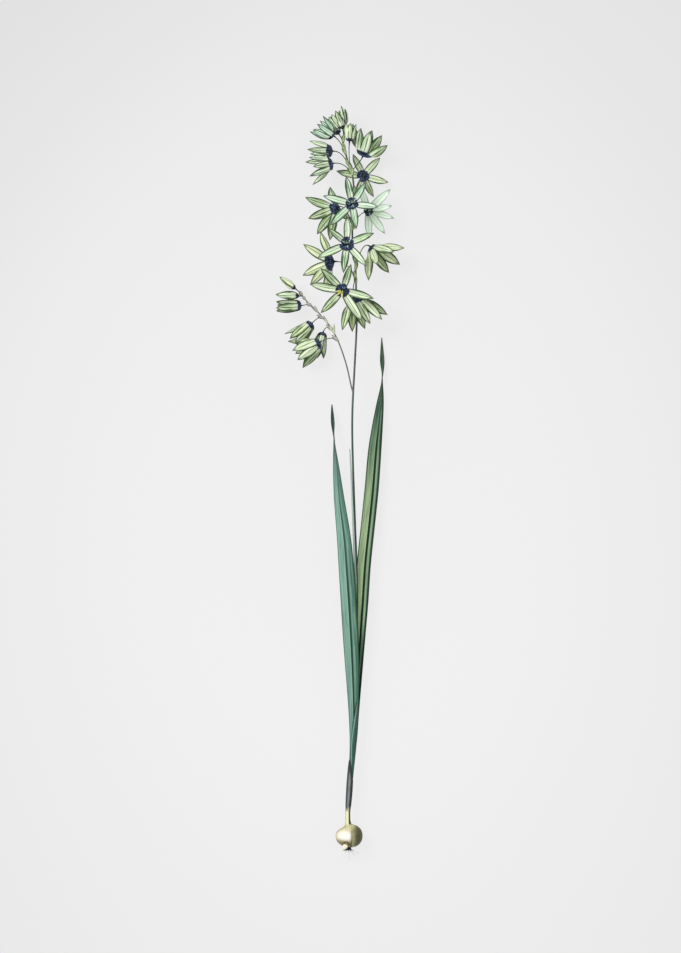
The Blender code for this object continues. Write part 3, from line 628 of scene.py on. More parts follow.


# Colours at heights along the shoot, in mm: of a leaf's left part, its right part and its dark lines. The
# right part is darker than the left by painted shade.
LEFT_STOPS = (
    ((30, seen(82, 122, 106)), (90, seen(122, 162, 146)), (210, seen(124, 166, 150)),
     (250, seen(114, 148, 136)), (276, seen(44, 70, 62))),
    ((30, seen(58, 98, 82)), (100, seen(74, 120, 100)), (210, seen(88, 130, 114)),
     (250, seen(82, 118, 106)), (275, seen(30, 54, 48))),
    ((30, seen(14, 46, 34)), (150, seen(30, 70, 52)), (230, seen(56, 94, 80)), (275, seen(30, 56, 50))),
)
RIGHT_STOPS = (
    ((60, seen(66, 100, 80)), (115, seen(128, 162, 124)), (145, seen(176, 206, 152)),
     (225, seen(164, 192, 146)), (262, seen(104, 138, 106)), (290, seen(66, 100, 78)),
     (330, seen(40, 62, 50))),
    ((60, seen(22, 52, 38)), (120, seen(50, 82, 60)), (150, seen(116, 152, 122)),
     (240, seen(106, 140, 112)), (270, seen(46, 78, 60)), (330, seen(34, 56, 46))),
    ((60, seen(6, 34, 18)), (250, seen(8, 40, 20)), (300, seen(18, 42, 28)), (330, seen(28, 50, 40))),
)
STEM_LEAF_STOPS = (
    ((160, seen(156, 178, 160)), (240, seen(200, 212, 204))),
    ((160, seen(136, 160, 142)), (240, seen(190, 204, 196))),
    ((160, seen(82, 104, 90)), (260, seen(124, 138, 132))),
)
for leaf in (
    Leaf("left_blade", "left_leaf", LEFT_LEAF, 0.0, LEFT_STOPS, seen(172, 204, 190), 250, 0.17, 0.76),
    Leaf("right_blade", "right_leaf", RIGHT_LEAF, 0.2, RIGHT_STOPS, seen(186, 208, 168), 300, 0.24, 0.64),
    Leaf("stem_blade", "stem_leaf", stem_leaf(), 0.0, STEM_LEAF_STOPS, seen(214, 226, 216), 240, 0.2, 0.7),
):
    leaf_mesh = bmesh.new()
    blade = leaf_mesh.verts.layers.float_vector.new("blade")
    add_blade(leaf_mesh, blade, leaf.route, leaf.rib)
    if leaf.node == "right_leaf":
        add_clasp(leaf_mesh, blade)
    grow(leaf.name, leaf_mesh, leaf_finish(leaf), "leaf", leaf.node, thickness=LEAF_THICKNESS)

# The blooms: six tepals each, three inner and three outer, joined in a shallow cup. They are thin, pale
# green and streaked lengthwise, and the cup is dark blue inside and out. Each sits on its own stalk.
Habit = namedtuple("Habit", "base_lean cup curl floor")
Bloom = namedtuple("Bloom", "name habit place facing joins eye blue breadth turned tepals")
# How a tepal leaves the flower's axis, how far out it bends to its own lean, its curl, the stamens' floor.
STAR = Habit(42.0, 2.0, 6.0, 1.5)
CUPPED = Habit(84.0, 2.8, -5.0, 0.7)
DISH = Habit(92.0, 4.6, -14.0, 0.7)
BROAD = Habit(92.0, 3.8, -4.0, 0.7)
BELL = Habit(90.0, 3.2, -9.0, 0.7)
NARROW = Habit(90.0, 2.3, -5.0, 0.7)
# Each tepal has its turn round the bloom's axis, its lean from it, its length and how light it is. Where it
# can, it turns its face to the viewer by the bloom's turned share.
SPIKE_BLOOMS = (
    Bloom("bloom_01", CUPPED, (3.2, 361.2, 28.5), (-68, -3), 371, 7.2, 0.0, 0.9, 0.7,
          ((8, 38, 26.3, 0.2), (50, 28, 25.5, 0.75), (104, 32, 25.5, 0.6),
           (188, 40, 24.8, 0.3), (234, 26, 25.5, 0.2), (280, 22, 26.6, 0.4))),
    Bloom("bloom_02", STAR, (-4.7, 364.9, 37.0), (-100, 80), 362, 5.7, 0.2, 0.92, 0.3,
          ((70, 80, 19.2, 0.15), (132, 79, 21.4, 0.35), (170, 81, 22.7, 0.7),
           (228, 77, 21.4, 0.35), (302, 77, 24.8, 0.8), (348, 77, 22.1, 0.5))),
    Bloom("bloom_03", STAR, (-10.1, 384.9, 23.2), (183, -30), 374, 7.4, -0.5, 0.95, 0.5,
          ((38, 56, 24.6, 0.7), (106, 60, 24.8, 0.5), (168, 56, 22.0, 0.6),
           (262, 58, 22.0, 0.7), (316, 64, 24.3, 0.5), (338, 50, 24.6, 0.75))),
    Bloom("bloom_04", CUPPED, (14.0, 395.0, 18.37), (-42, -8), 380, 4.6, -0.1, 1.0, 0.6,
          ((68, 40, 23.4, 0.6), (113, 50, 21.0, 0.55), (158, 64, 21.5, 0.9),
           (206, 52, 23.4, 0.3), (290, 20, 24.8, 0.3), (348, 20, 26.9, 0.5))),
    Bloom("bloom_05", STAR, (-1.8, 395.7, 28.5), (90, 82), 385, 6.0, 0.45, 0.9, 0.3,
          ((20, 74, 20.3, 0.5), (88, 84, 19.1, 0.65), (144, 62, 17.6, 0.35),
           (206, 84, 22.1, 0.75), (262, 80, 20.9, 0.4), (310, 78, 20.9, 0.65))),
    Bloom("bloom_06", STAR, (-7.8, 421.4, 22.0), (208, -48), 410, 6.2, 0.2, 1.0, 0.4,
          ((0, 62, 23.7, 0.35), (32, 64, 22.6, 0.4), (76, 66, 23.0, 0.3),
           (154, 62, 22.6, 0.5), (240, 62, 20.0, 0.3), (336, 66, 23.3, 0.35))),
    Bloom("bloom_07", STAR, (12.1, 420.3, 9.0), (-30, 80), 408, 4.8, 1.5, 0.95, 0.2,
          ((12, 60, 18.0, 0.5), (44, 74, 21.4, 0.7), (112, 66, 18.6, 0.8),
           (270, 70, 20.0, 0.5), (306, 74, 20.0, 0.4), (344, 66, 19.3, 0.7))),
    Bloom("bloom_08", STAR, (1.6, 422.4, 28.0), (90, 80), 414, 5.4, 0.85, 0.95, 0.3,
          ((54, 69, 17.8, 0.45), (100, 77, 19.4, 0.4), (168, 79, 20.6, 0.7),
           (226, 86, 21.4, 0.5), (280, 77, 19.2, 0.4), (348, 71, 18.8, 0.9))),
    Bloom("bloom_09", STAR, (9.5, 443.3, 14.0), (200, -74), 430, 5.2, 0.15, 1.0, 0.2,
          ((50, 70, 19.0, 0.5), (114, 66, 18.4, 0.4), (172, 82, 19.0, 0.7),
           (232, 80, 19.0, 0.6), (276, 66, 17.3, 0.4), (328, 88, 17.0, 0.5))),
    Bloom("bloom_10", BROAD, (-11.8, 450.1, 24.0), (194, 8), 444, 6.4, 0.4, 0.8, 0.5,
          ((16, 24, 18.6, 0.5), (58, 22, 19.4, 0.6), (150, 18, 19.8, 0.5),
           (216, 22, 19.6, 0.3), (278, 26, 20.6, 0.5), (330, 14, 20.2, 0.6))),
    Bloom("bloom_11", BROAD, (-12.1, 459.7, 14.0), (180, -12), 449, 6.2, 0.3, 0.8, 0.5,
          ((0, 16, 18.4, 0.4), (44, 20, 17.6, 0.65), (102, 16, 18.2, 0.5),
           (190, 10, 19.2, 0.6), (240, 12, 18.8, 0.4), (300, 18, 18.2, 0.7))),
    Bloom("bloom_12", DISH, (9.0, 456.6, 14.5), (68, 12), 443, 7.2, 0.35, 1.1, 0.6,
          ((34, 32, 22.2, 0.3), (72, 30, 22.6, 0.4), (148, 36, 22.8, 0.25),
           (200, 24, 22.0, 0.35), (246, 26, 22.6, 0.9), (302, 44, 21.3, 0.4))),
    Bloom("bloom_13", NARROW, (-0.1, 465.7, 22.5), (86, 6), 446, 3.4, 0.2, 1.2, 0.3,
          ((50, 8, 13.0, 0.3), (106, 12, 12.6, 0.3), (166, 8, 12.0, 0.35),
           (214, 6, 12.6, 0.65), (270, 6, 13.2, 0.5), (330, 8, 12.8, 0.3))),
    Bloom("bloom_14", BROAD, (-10.9, 469.3, 20.0), (145, 8), 458, 4.6, 0.9, 0.85, 0.5,
          ((74, 16, 16.4, 0.4), (116, 18, 16.2, 0.65), (168, 18, 16.4, 0.5),
           (204, 14, 17.4, 0.3), (262, 12, 16.6, 0.65), (322, 12, 16.9, 0.5))),
    Bloom("bloom_15", NARROW, (-7.6, 472.0, 12.0), (124, -12), 460, 3.2, 0.85, 1.15, 0.4,
          ((44, 4, 13.6, 0.7), (102, 12, 13.0, 0.6), (160, 6, 13.2, 0.7),
           (224, 10, 13.0, 0.8), (290, 12, 13.0, 0.7), (350, 10, 13.2, 0.6))),
    Bloom("bloom_16", NARROW, (-5.2, 474.7, 19.5), (118, 6), 466, 3.2, 0.3, 1.2, 0.4,
          ((30, 10, 12.8, 0.4), (98, 8, 13.0, 0.7), (158, 16, 12.2, 0.3),
           (214, 12, 12.4, 0.6), (262, 12, 12.8, 0.8), (310, 6, 13.6, 0.4))),
)  # fmt: skip
SIDE_BLOOMS = (
    Bloom("side_bloom_1", BROAD, (-20.2, 331.3, 15.5), (209, -4), 0.30, 5.6, 0.15, 1.1, 0.5,
          ((10, 20, 22.0, 0.6), (54, 20, 22.0, 0.65), (114, 24, 22.6, 0.6),
           (196, 16, 22.0, 0.5), (254, 24, 22.2, 0.4), (312, 18, 22.0, 0.12))),
    Bloom("side_bloom_2", NARROW, (-17.9, 338.2, 5.5), (-106, 4), 0.42, 4.4, 0.3, 1.15, 0.3,
          ((17, 14, 18.0, 0.5), (71, 12, 18.4, 0.6), (126, 10, 19.0, 0.4),
           (180, 14, 18.6, 0.6), (254, 12, 19.0, 0.65), (318, 12, 18.4, 0.5))),
    Bloom("side_bloom_3", BELL, (-25.5, 344.1, 13.0), (223, 0), 0.58, 5.2, 0.1, 1.15, 0.3,
          ((13, 12, 19.6, 0.5), (73, 12, 19.8, 0.4), (133, 17, 21.0, 0.25),
           (193, 10, 20.0, 0.8), (253, 12, 19.6, 0.65), (313, 14, 19.6, 0.3))),
    Bloom("side_bloom_4", BELL, (-32.9, 356.3, 12.0), (182, 4), 0.80, 4.9, 0.25, 1.2, 0.2,
          ((50, 4, 18.4, 0.45), (112, 1, 18.4, 0.3), (172, 8, 17.8, 0.5),
           (232, 6, 18.2, 0.6), (292, 4, 18.8, 0.3), (346, 6, 19.0, 0.4))),
)  # fmt: skip
# Crowded among its neighbours and the stem, this one is pressed flatter than it is broad.
FLATTENED = {"bloom_01": 0.45}
TEPALS = 6
TEPAL_ROWS = 24
TEPAL_STEPS_ACROSS = 12
TEPAL_THICKNESS = 0.32
WHORL_GAP = 0.5
RIB_STEPS = 12
OVERLAP = 1.12
MOST_ROOM = 0.85
CUP_STEPS_ROUND = 36
CUP_ROWS = 8
CUP_FOOT = 0.25
CUP_STANDS_OFF = 0.4
TO_VIEWER = Vector((0, 0, 1))


def tepal_lean(way, lean, distance, length):
    settled = math.exp(-((distance / way.cup) ** 2))
    return math.radians(lean + (way.base_lean - lean) * settled + way.curl * (distance / length) ** 2)


def rib_point(way, lean, distance, length):
    """Radius and height on a tepal's midrib, and its lean there."""
    step = distance / RIB_STEPS
    leans = [tepal_lean(way, lean, (i + 0.5) * step, length) for i in range(RIB_STEPS)]
    radius = sum(math.sin(a) for a in leans) * step
    height = sum(math.cos(a) for a in leans) * step
    return radius, height, tepal_lean(way, lean, distance, length)


def tepal_half_width(share, length):
    """A lance-shaped outline, widest past its middle, with a short point."""
    swell = math.sin(math.pi * min(0.998, share) ** 1.1) ** (0.5 + 0.45 * share**3)
    return 0.125 * length * (0.16 * (1 - share) + swell)


def add_tepal(bm, layers, seat, bloom, turn, lean, length, light, inner, draw, room):
    sway = draw.uniform(-0.045, 0.045) * length
    tone = light + draw.uniform(-0.05, 0.05)
    hue = bloom.blue + draw.uniform(-0.15, 0.15)
    out = Vector((math.cos(turn), math.sin(turn), 0))
    across = Vector((-out.y, out.x, 0))
    turned_seat = seat.to_3x3()

    def facing_in(slope):
        return Vector((-out.x * math.cos(slope), -out.y * math.cos(slope), math.sin(slope)))

    shares = [0.012 + 0.988 * (j / TEPAL_ROWS) for j in range(TEPAL_ROWS + 1)]
    ribs = [rib_point(bloom.habit, lean, share * length, length) for share in shares]
    middles = []
    for share, (radius, height, slope) in zip(shares, ribs):
        raised = (WHORL_GAP if inner else -WHORL_GAP) * min(1.0, share * length / 2.5) * (1 - 0.4 * share)
        middle = out * radius + Vector((0, 0, height)) + across * sway * share**2 + facing_in(slope) * raised
        middles.append(seat @ (middle * MM))
    rows = []
    for j, (share, (radius, _, slope)) in enumerate(zip(shares, ribs)):
        way = (middles[min(j + 1, TEPAL_ROWS)] - middles[max(j - 1, 0)]).normalized()
        side = turned_seat @ across
        side = (side - way * side.dot(way)).normalized()
        flat = way.cross(TO_VIEWER)
        shown = bloom.turned * soft_step(share, 0.12, 0.55) * min(1.0, flat.length * 1.5)
        flat = flat.normalized() if flat.length > 0.05 else side
        side = (side * (1 - shown) + flat * math.copysign(shown, flat.dot(side))).normalized()
        inward = side.cross(way).normalized()
        inward *= math.copysign(1, inward.dot(turned_seat @ facing_in(slope)))
        half = max(0.05, min(tepal_half_width(share, length) * bloom.breadth, radius * room))
        hug = min(1.1, half * abs(math.cos(slope)) / max(radius, 0.3)) * (1 - 0.7 * shown)
        curve = math.copysign(max(hug, 0.05), math.cos(slope))
        row = []
        for k in range(TEPAL_STEPS_ACROSS + 1):
            u = 2 * k / TEPAL_STEPS_ACROSS - 1
            sideways = math.sin(curve * u) / curve * half
            lift = (1 - math.cos(curve * u)) / curve * half
            lift += 0.34 * half * abs(u) ** 1.3 * (1 - 0.7 * hug) * soft_step(share, 0.1, 0.3)
            lift += 0.07 * half * math.sin(share * 9 + tone * 20) * u * abs(u)
            vert = bm.verts.new(middles[j] + (side * sideways + inward * lift) * MM)
            vert[layers[0]] = (u, share * length, share)
            vert[layers[1]] = (bloom.eye, hue, tone)
            row.append(vert)
        rows.append(row)
    skin_over(bm, rows)


def cup_lean(bloom, angle):
    """The lean of the cup's wall between its tepals."""
    shares = []
    for turn, lean, _, _ in bloom.tepals:
        shares.append((max(0.0, math.cos(angle - math.radians(turn))) ** 4 + 0.001, lean))
    return sum(share * lean for share, lean in shares) / sum(share for share, _ in shares)


def add_cup(bm, layers, seat, bloom):
    """The shallow cup that joins the tepals' feet, just outside them."""
    length = bloom.tepals[0][2]
    rows = []
    for j in range(CUP_ROWS + 1):
        distance = CUP_FOOT + (bloom.eye * 0.7 - CUP_FOOT) * j / CUP_ROWS
        row = []
        for k in range(CUP_STEPS_ROUND):
            angle = math.tau * k / CUP_STEPS_ROUND
            radius, height, slope = rib_point(bloom.habit, cup_lean(bloom, angle), distance, length)
            own = radius + CUP_STANDS_OFF * math.cos(slope)
            up = height - CUP_STANDS_OFF * math.sin(slope)
            vert = bm.verts.new(seat @ (Vector((own * math.cos(angle), own * math.sin(angle), up)) * MM))
            vert[layers[0]] = (0.9, distance, distance / length)
            vert[layers[1]] = (bloom.eye, bloom.blue, 0.5)
            row.append(vert)
        rows.append(row)
    skin_over(bm, rows, closed=True, ends=1)


def bloom_mesh(bloom):
    bm = bmesh.new()
    layers = (bm.verts.layers.float_vector.new("tepal"), bm.verts.layers.float_vector.new("mood"))
    turns = [math.radians(tepal[0]) for tepal in bloom.tepals]
    draw = random.Random(bloom.name)
    seat = facing_matrix(bloom.place, bloom.facing, FLATTENED.get(bloom.name, 1.0))
    for k in range(TEPALS):
        gaps = [(turns[(k + 1 - i) % TEPALS] - turns[k - i]) % math.tau for i in (0, 1)]
        room = min(math.tan(max(gaps) / 2) * OVERLAP, MOST_ROOM)
        add_tepal(bm, layers, seat, bloom, turns[k], *bloom.tepals[k][1:], k % 2 == 0, draw, room)
    add_cup(bm, layers, seat, bloom)
    return bm


def tepal_finish():
    finish, start = start_finish("tepal_skin")
    across, far, share = start.attribute("tepal").parts()
    eye, blue, tone = start.attribute("mood").parts()
    place = start.place()
    streaks = start.at(across * 2.6 + tone * 37, share * 0.8, tone * 19).speckle(1.8, 2.5)
    shadow = start.at(across * 1.1 + tone * 23, share * 1.2, tone * 7 + 4).speckle(1.4, 1.0)
    fine = start.at(across * 9.0 + tone * 11, share * 2.4, tone * 3).speckle(2.0, 3.0)
    washed = (blue - 1.0).rise(0.0, 0.5)
    dark = blue.blend(seen(58, 90, 34), seen(34, 86, 60))
    middle = blue.blend(seen(180, 212, 134), seen(166, 214, 168))
    light = blue.blend(seen(243, 255, 218), seen(232, 255, 234))
    colour = (streaks + (tone - 0.5) * 0.2).rise(0.39, 0.55).blend(middle, light)
    colour = ((shadow + (0.5 - tone) * 0.26).rise(0.49, 0.66) * (0.85 - washed * 0.7)).blend(colour, dark)
    colour = (abs(across).near(0.28, 0.2) * 0.65).blend(colour, light)
    colour = ((fine + (0.5 - tone) * 0.16).rise(0.5, 0.66) * (0.45 - washed * 0.3)).blend(colour, dark)
    lines = (across * 13 + fine * 2.4 + tone * 6).sine().rise(0.1, 0.9) * (0.3 - washed * 0.2)
    colour = (lines * far.rise(1.0, 6.0)).blend(colour, dark)
    # Painted shade on one half of each tepal, the half of its fold turned from the light.
    shaded_half = (across * (tone * 5).sine() * 3).rise(0.2, 0.9) * (0.42 - washed * 0.35)
    colour = shaded_half.blend(colour, dark)
    colour = (washed * 0.7).blend(colour, seen(240, 255, 238))
    colour = ((0 - blue).rise(0.0, 0.6) * 0.42).blend(colour, seen(244, 253, 196))
    olive = blue.blend(seen(126, 138, 86), seen(96, 134, 102))
    colour = ((0.5 - tone).rise(0.0, 0.45) * 0.32).blend(colour, olive)
    colour = (abs(across).near(0.3, 0.16) * 0.35).blend(colour, light)
    throat = (1 - (far - eye).rise(0.2, 4.5)) * 0.55
    colour = throat.blend(colour, seen(222, 230, 206))
    vein = abs(across).near(0.0, 0.14) * (1 - share.rise(0.78, 0.97)) * (0.9 - washed * 0.5)
    colour = vein.blend(colour, seen(58, 82, 46))
    rim = abs(across).rise(0.62, 0.86) * (0.95 - washed * 0.55)
    colour = rim.blend(colour, blue.blend(seen(36, 60, 24), seen(24, 62, 46)))
    colour = (share.rise(0.82, 0.97) * (0.85 - washed * 0.25)).blend(colour, seen(74, 78, 62))
    reach = far + across * across * 0.9 + fine * 0.6
    mottle = place.speckle(900.0, 2.0)
    ink = mottle.rise(0.42, 0.66).blend(seen(20, 30, 50), seen(78, 94, 130))
    ink = (abs(across).near(0.0, 0.14) * far.rise(1.2, 2.2) * 0.7).blend(ink, seen(18, 24, 46))
    ink = (1 - far.rise(1.3, 2.6)).blend(ink, seen(16, 34, 40))
    marks = abs(across).near(0.42, 0.22) * far.near(2.4, 1.0) * blue.rise(0.15, 0.4)
    ink = (marks * 0.85).blend(ink, seen(176, 202, 190))
    ink = ((reach - eye).near(-0.5, 0.4) * 0.5).blend(ink, seen(20, 30, 56))
    colour = (1 - (reach - eye).rise(-0.3, 0.3)).blend(colour, ink)
    relief = (across * 30).sine() * 0.3 + fine
    return close_finish(finish, colour, 0.44 + fine * 0.22, relief, 0.08, sheen=0.05)


tepal_skin = tepal_finish()
for bloom in SPIKE_BLOOMS + SIDE_BLOOMS:
    tepals = bloom_mesh(bloom)
    grow(bloom.name + "_tepals", tepals, tepal_skin, "petals", bloom.name, thickness=TEPAL_THICKNESS)

# The buds: closed blooms at the tips of the spike and of the side branch. Three outer tepals overlap round
# each one like tiles, and its foot is as dark as the cups of the open blooms.
Bud = namedtuple("Bud", "name place facing length girth joins eye blue")
SPIKE_BUDS = (
    Bud("bud_1", (-2.3, 477.2, 17.5), (94, 4), 10.3, 1.75, 472, 1.2, 0.4),
    Bud("bud_2", (-3.6, 479.4, 20.5), (102, 8), 9.8, 1.6, 472, 1.0, 0.3),
)
SIDE_BUDS = (
    Bud("side_bud_1", (-33.6, 362.8, 11.0), (177, 4), 16.0, 3.0, 0.92, 3.2, 0.3),
    Bud("side_bud_2", (-36.2, 367.3, 14.0), (143, 4), 13.4, 2.6, 1.0, 2.8, -0.3),
)
BUD_ROWS = 40
BUD_TILES = 3
BUD_TILE_STEPS = 20
BUD_BELLY = 0.42


def bud_mesh(bud):
    bm = bmesh.new()
    layers = (bm.verts.layers.float_vector.new("tepal"), bm.verts.layers.float_vector.new("mood"))
    seat = facing_matrix(bud.place, bud.facing)
    tone = 0.6 + random.Random(bud.name).uniform(-0.05, 0.05)
    rows = []
    for j in range(BUD_ROWS + 1):
        share = min(0.988, max(0.012, j / BUD_ROWS))
        stretch = share ** (math.log(0.5) / math.log(BUD_BELLY))
        width = math.sin(math.pi * stretch) ** 0.72 * bud.girth
        row = []
        for k in range(BUD_TILES * BUD_TILE_STEPS):
            tile, step = divmod(k, BUD_TILE_STEPS)
            t = step / (BUD_TILE_STEPS - 1)
            angle = (tile + t) * math.tau / BUD_TILES - 0.5 * share - 0.9
            own = width * (0.9 + 0.13 * soft_step(t, 0.0, 0.12) - 0.05 * t)
            point = Vector((own * math.cos(angle), own * math.sin(angle), j / BUD_ROWS * bud.length))
            vert = bm.verts.new(seat @ (point * MM))
            vert[layers[0]] = (2 * t - 1, share * bud.length, share)
            vert[layers[1]] = (bud.eye, bud.blue, tone)
            row.append(vert)
        rows.append(row)
    skin_over(bm, rows, closed=True, ends=2)
    return bm


for bud in SPIKE_BUDS + SIDE_BUDS:
    grow(bud.name + "_tepals", bud_mesh(bud), tepal_skin, "petals", bud.name)

# The stamens: in each open bloom three dark filaments with anthers stand round a style with three curved
# arms. All are soft tissue and grow from the bottom of the cup. The anthers of the lowest open bloom are
# full and yellow with pollen, and the younger ones are small and pale green.
RIPE = {"bloom_02": 1.0, "bloom_03": 0.9}
YOUNG = 0.6
ANTHER_TURNS = {"bloom_02": (186, 222, 262)}
EVEN_TURNS = (-75, 45, 165)
ANTHER_LENGTH = 4.2
ANTHER_RADIUS = 0.62
ANTHER_LEAN = math.radians(52)
ANTHER_STEPS = 9
STYLE_LENGTH = 5.4
STYLE_RADIUS = 0.34
FILAMENT_RADIUS = 0.3
ARM_RADIUS = 0.22
ARM_REACH = 1.2


def add_anther(bm, part, top, out, size, ripe):
    long_way = Matrix.Rotation(ANTHER_LEAN, 3, Vector((-out.y, out.x, 0))) @ Vector((0, 0, 1))
    points = []
    radii = []
    for i in range(ANTHER_STEPS + 1):
        bow = out * 0.25 * math.sin(math.pi * i / ANTHER_STEPS)
        points.append(top + (long_way * (ANTHER_LENGTH * (i / ANTHER_STEPS - 0.3)) + bow) * size)
        belly = math.sin(math.pi * (i + 0.5) / (ANTHER_STEPS + 1))
        radii.append(ANTHER_RADIUS * size * max(0.16, belly) ** 0.5)
    add_rod(bm, points, radii, 12, (part, ripe))


def stamen_mesh(bloom):
    bm = bmesh.new()
    part = bm.verts.layers.float_vector.new("part")
    draw = random.Random(bloom.name + "_stamens")
    ripe = RIPE.get(bloom.name, YOUNG)
    size = 0.6 + 0.4 * (ripe - YOUNG) / (1 - YOUNG)
    style = []
    for i in range(9):
        style.append(Vector((0.1 * math.sin(i * 0.5), 0.1 * math.sin(i * 0.4), STYLE_LENGTH * i / 8)))
    add_rod(bm, style, [STYLE_RADIUS - 0.1 * i / 8 for i in range(9)], 10, (part, 0.3))
    for k in range(3):
        angle = math.radians(ANTHER_TURNS.get(bloom.name, EVEN_TURNS)[k]) + draw.uniform(-0.1, 0.1)
        out = Vector((math.cos(angle), math.sin(angle), 0))
        root = Vector((0, 0, 1.4))
        top = root + out * 1.87 + Vector((0, 0, 2.04))
        bow = [root.lerp(top, i / 8) + Vector((0, 0, 0.3 * math.sin(math.pi * i / 8))) for i in range(9)]
        add_rod(bm, bow, [FILAMENT_RADIUS - 0.1 * i / 8 for i in range(9)], 8, (part, 0.0))
        add_anther(bm, part, top, out, size, ripe)
        arm_out = Vector((math.cos(angle + math.pi / 3), math.sin(angle + math.pi / 3), 0))
        arm = []
        for i in range(7):
            arm.append(style[-1] + arm_out * ARM_REACH * (i / 6) + Vector((0, 0, -0.35 * (i / 6) ** 2)))
        add_rod(bm, arm, [ARM_RADIUS - 0.1 * i / 6 for i in range(7)], 8, (part, 0.4))
    seat = facing_matrix(bloom.place, bloom.facing) @ Matrix.Translation((0, 0, bloom.habit.floor * MM))
    bmesh.ops.transform(bm, matrix=seat, verts=bm.verts)
    return bm


def stamen_finish():
    finish, start = start_finish("stamen_tissue")
    share, kind, turn = start.attribute("part").parts()
    grain = start.place().speckle(3200.0, 2.0)
    filament = grain.rise(0.4, 0.6).blend(seen(20, 30, 38), seen(40, 56, 66))
    style = grain.rise(0.4, 0.6).blend(seen(120, 146, 118), seen(168, 188, 150))
    young = grain.rise(0.35, 0.65).blend(seen(150, 176, 150), seen(196, 214, 186))
    pollen = grain.rise(0.35, 0.65).blend(seen(196, 194, 92), seen(232, 228, 142))
    groove = abs((turn * math.tau * 2).sine()).near(0.0, 0.25)
    pollen = (groove * 0.5).blend(pollen, seen(120, 116, 50))
    colour = kind.rise(0.1, 0.25).blend(filament, style)
    colour = kind.rise(0.45, 0.55).blend(colour, young)
    colour = kind.rise(0.7, 0.85).blend(colour, pollen)
    return close_finish(finish, colour, 0.5 + grain * 0.3, grain, 0.08)


stamen_tissue = stamen_finish()
for bloom in SPIKE_BLOOMS[1:9]:
    grow(bloom.name + "_anthers", stamen_mesh(bloom), stamen_tissue, "stamens", bloom.name + "_stamens")

# The stem: one slender wiry shoot from the corm to the tip of the spike, with a thin stalk to each bloom
# and bud. It is smooth, slate green and finely furrowed, greyer higher up, and every stalk grows out of it.
STEM_RADIUS = 0.8
STEM_TIP_RADIUS = 0.55
STEM_ROWS = 260
STALK_RADIUS = 0.4
STALK_STEPS = 16


def joint_on(points, along):
    """The point of a stem at a distance along the shoot, and the stem's way there."""
    index = min(range(1, len(points) - 1), key=lambda i: abs(points[i].y - along))
    return points[index], (points[index + 1] - points[index - 1]).normalized()


def stalk_way(start, up, flower):
    return (up * 1.2 + (Vector(flower.place) - start).normalized()).normalized()


def stalk_points(start, way, flower):
    """A stalk bends once, from the stem's own way to the way its flower faces."""
    faces = facing_matrix((0, 0, 0), flower.facing).to_3x3() @ Vector((0, 0, 1))
    end = Vector(flower.place) - faces * 0.2
    reach = (end - start).length
    held = (start, start + way * 0.4 * reach, end - faces * 0.4 * reach, end)
    points = []
    for step in range(STALK_STEPS + 1):
        t = step / STALK_STEPS
        shares = ((1 - t) ** 3, 3 * t * (1 - t) ** 2, 3 * t * t * (1 - t), t**3)
        points.append(sum((point * share for point, share in zip(held, shares)), Vector()))
    return points


def add_stalks(bm, part, flowers, joint):
    for flower in flowers:
        start, up = joint(flower.joins)
        points = stalk_points(start, stalk_way(start, up, flower), flower)
        radii = []
        for i in range(STALK_STEPS + 1):
            waist = math.sin(math.pi * i / STALK_STEPS)
            flare = soft_step(i, STALK_STEPS - 2, STALK_STEPS)
            radii.append(STALK_RADIUS * (0.95 - 0.25 * waist + 0.75 * flare))
        add_rod(bm, points, radii, 10, (part, 1.0))


def stem_finish(name, low, high, spike, stalk):
    """low, high and spike are each a light, a middle and a dark colour, taken by the stem on its way up."""
    finish, start = start_finish(name)
    share, kind, turn = start.attribute("part").parts()
    place = start.place()
    _, y, _ = place.parts()
    grain = place.speckle(160.0, 4.0)
    lines = (turn * math.tau * 6).sine()
    higher = (y * 1000).rise(250, 330)
    on_spike = (y * 1000).rise(385, 400)
    light, middle, dark = (on_spike.blend(higher.blend(a, b), c) for a, b, c in zip(low, high, spike))
    colour = (grain * 0.6 + lines * 0.1 + 0.2).rise(0.35, 0.65).blend(light, middle)
    colour = (lines.rise(0.3, 1.0) * 0.35).blend(colour, dark)
    shaded = ((turn + 0.14) * math.tau).sine().rise(0.05, 0.45) * (1 - kind.rise(0.4, 0.6))
    colour = (shaded * 0.92).blend(colour, dark)
    colour = (kind.rise(0.4, 0.6) * 0.85).blend(colour, stalk)
    colour = (kind * share.rise(0.9, 1.0)).blend(colour, seen(36, 42, 74))
    return close_finish(finish, colour, 0.4 + grain * 0.25, lines * 0.4 + grain, 0.08)


stem_line = [Vector(row) for row in smooth_route(STEM_ROUTE, STEM_ROWS)]
stem = bmesh.new()
part = stem.verts.layers.float_vector.new("part")
taper = STEM_TIP_RADIUS - STEM_RADIUS
stem_radii = [STEM_RADIUS + taper * i / (STEM_ROWS - 1) for i in range(STEM_ROWS)]
add_rod(stem, stem_line, stem_radii, 16, (part, 0.0))
add_stalks(stem, part, SPIKE_BLOOMS + SPIKE_BUDS, lambda along: joint_on(stem_line, along))
stem_skin = stem_finish(
    "stem_skin",
    (seen(100, 124, 108), seen(68, 92, 78), seen(6, 12, 9)),
    (seen(118, 122, 116), seen(88, 94, 90), seen(50, 56, 54)),
    (seen(104, 126, 94), seen(64, 84, 66), seen(28, 42, 36)),
    seen(48, 60, 56),
)
grow("main_stem", stem, stem_skin, "stem", "stem")

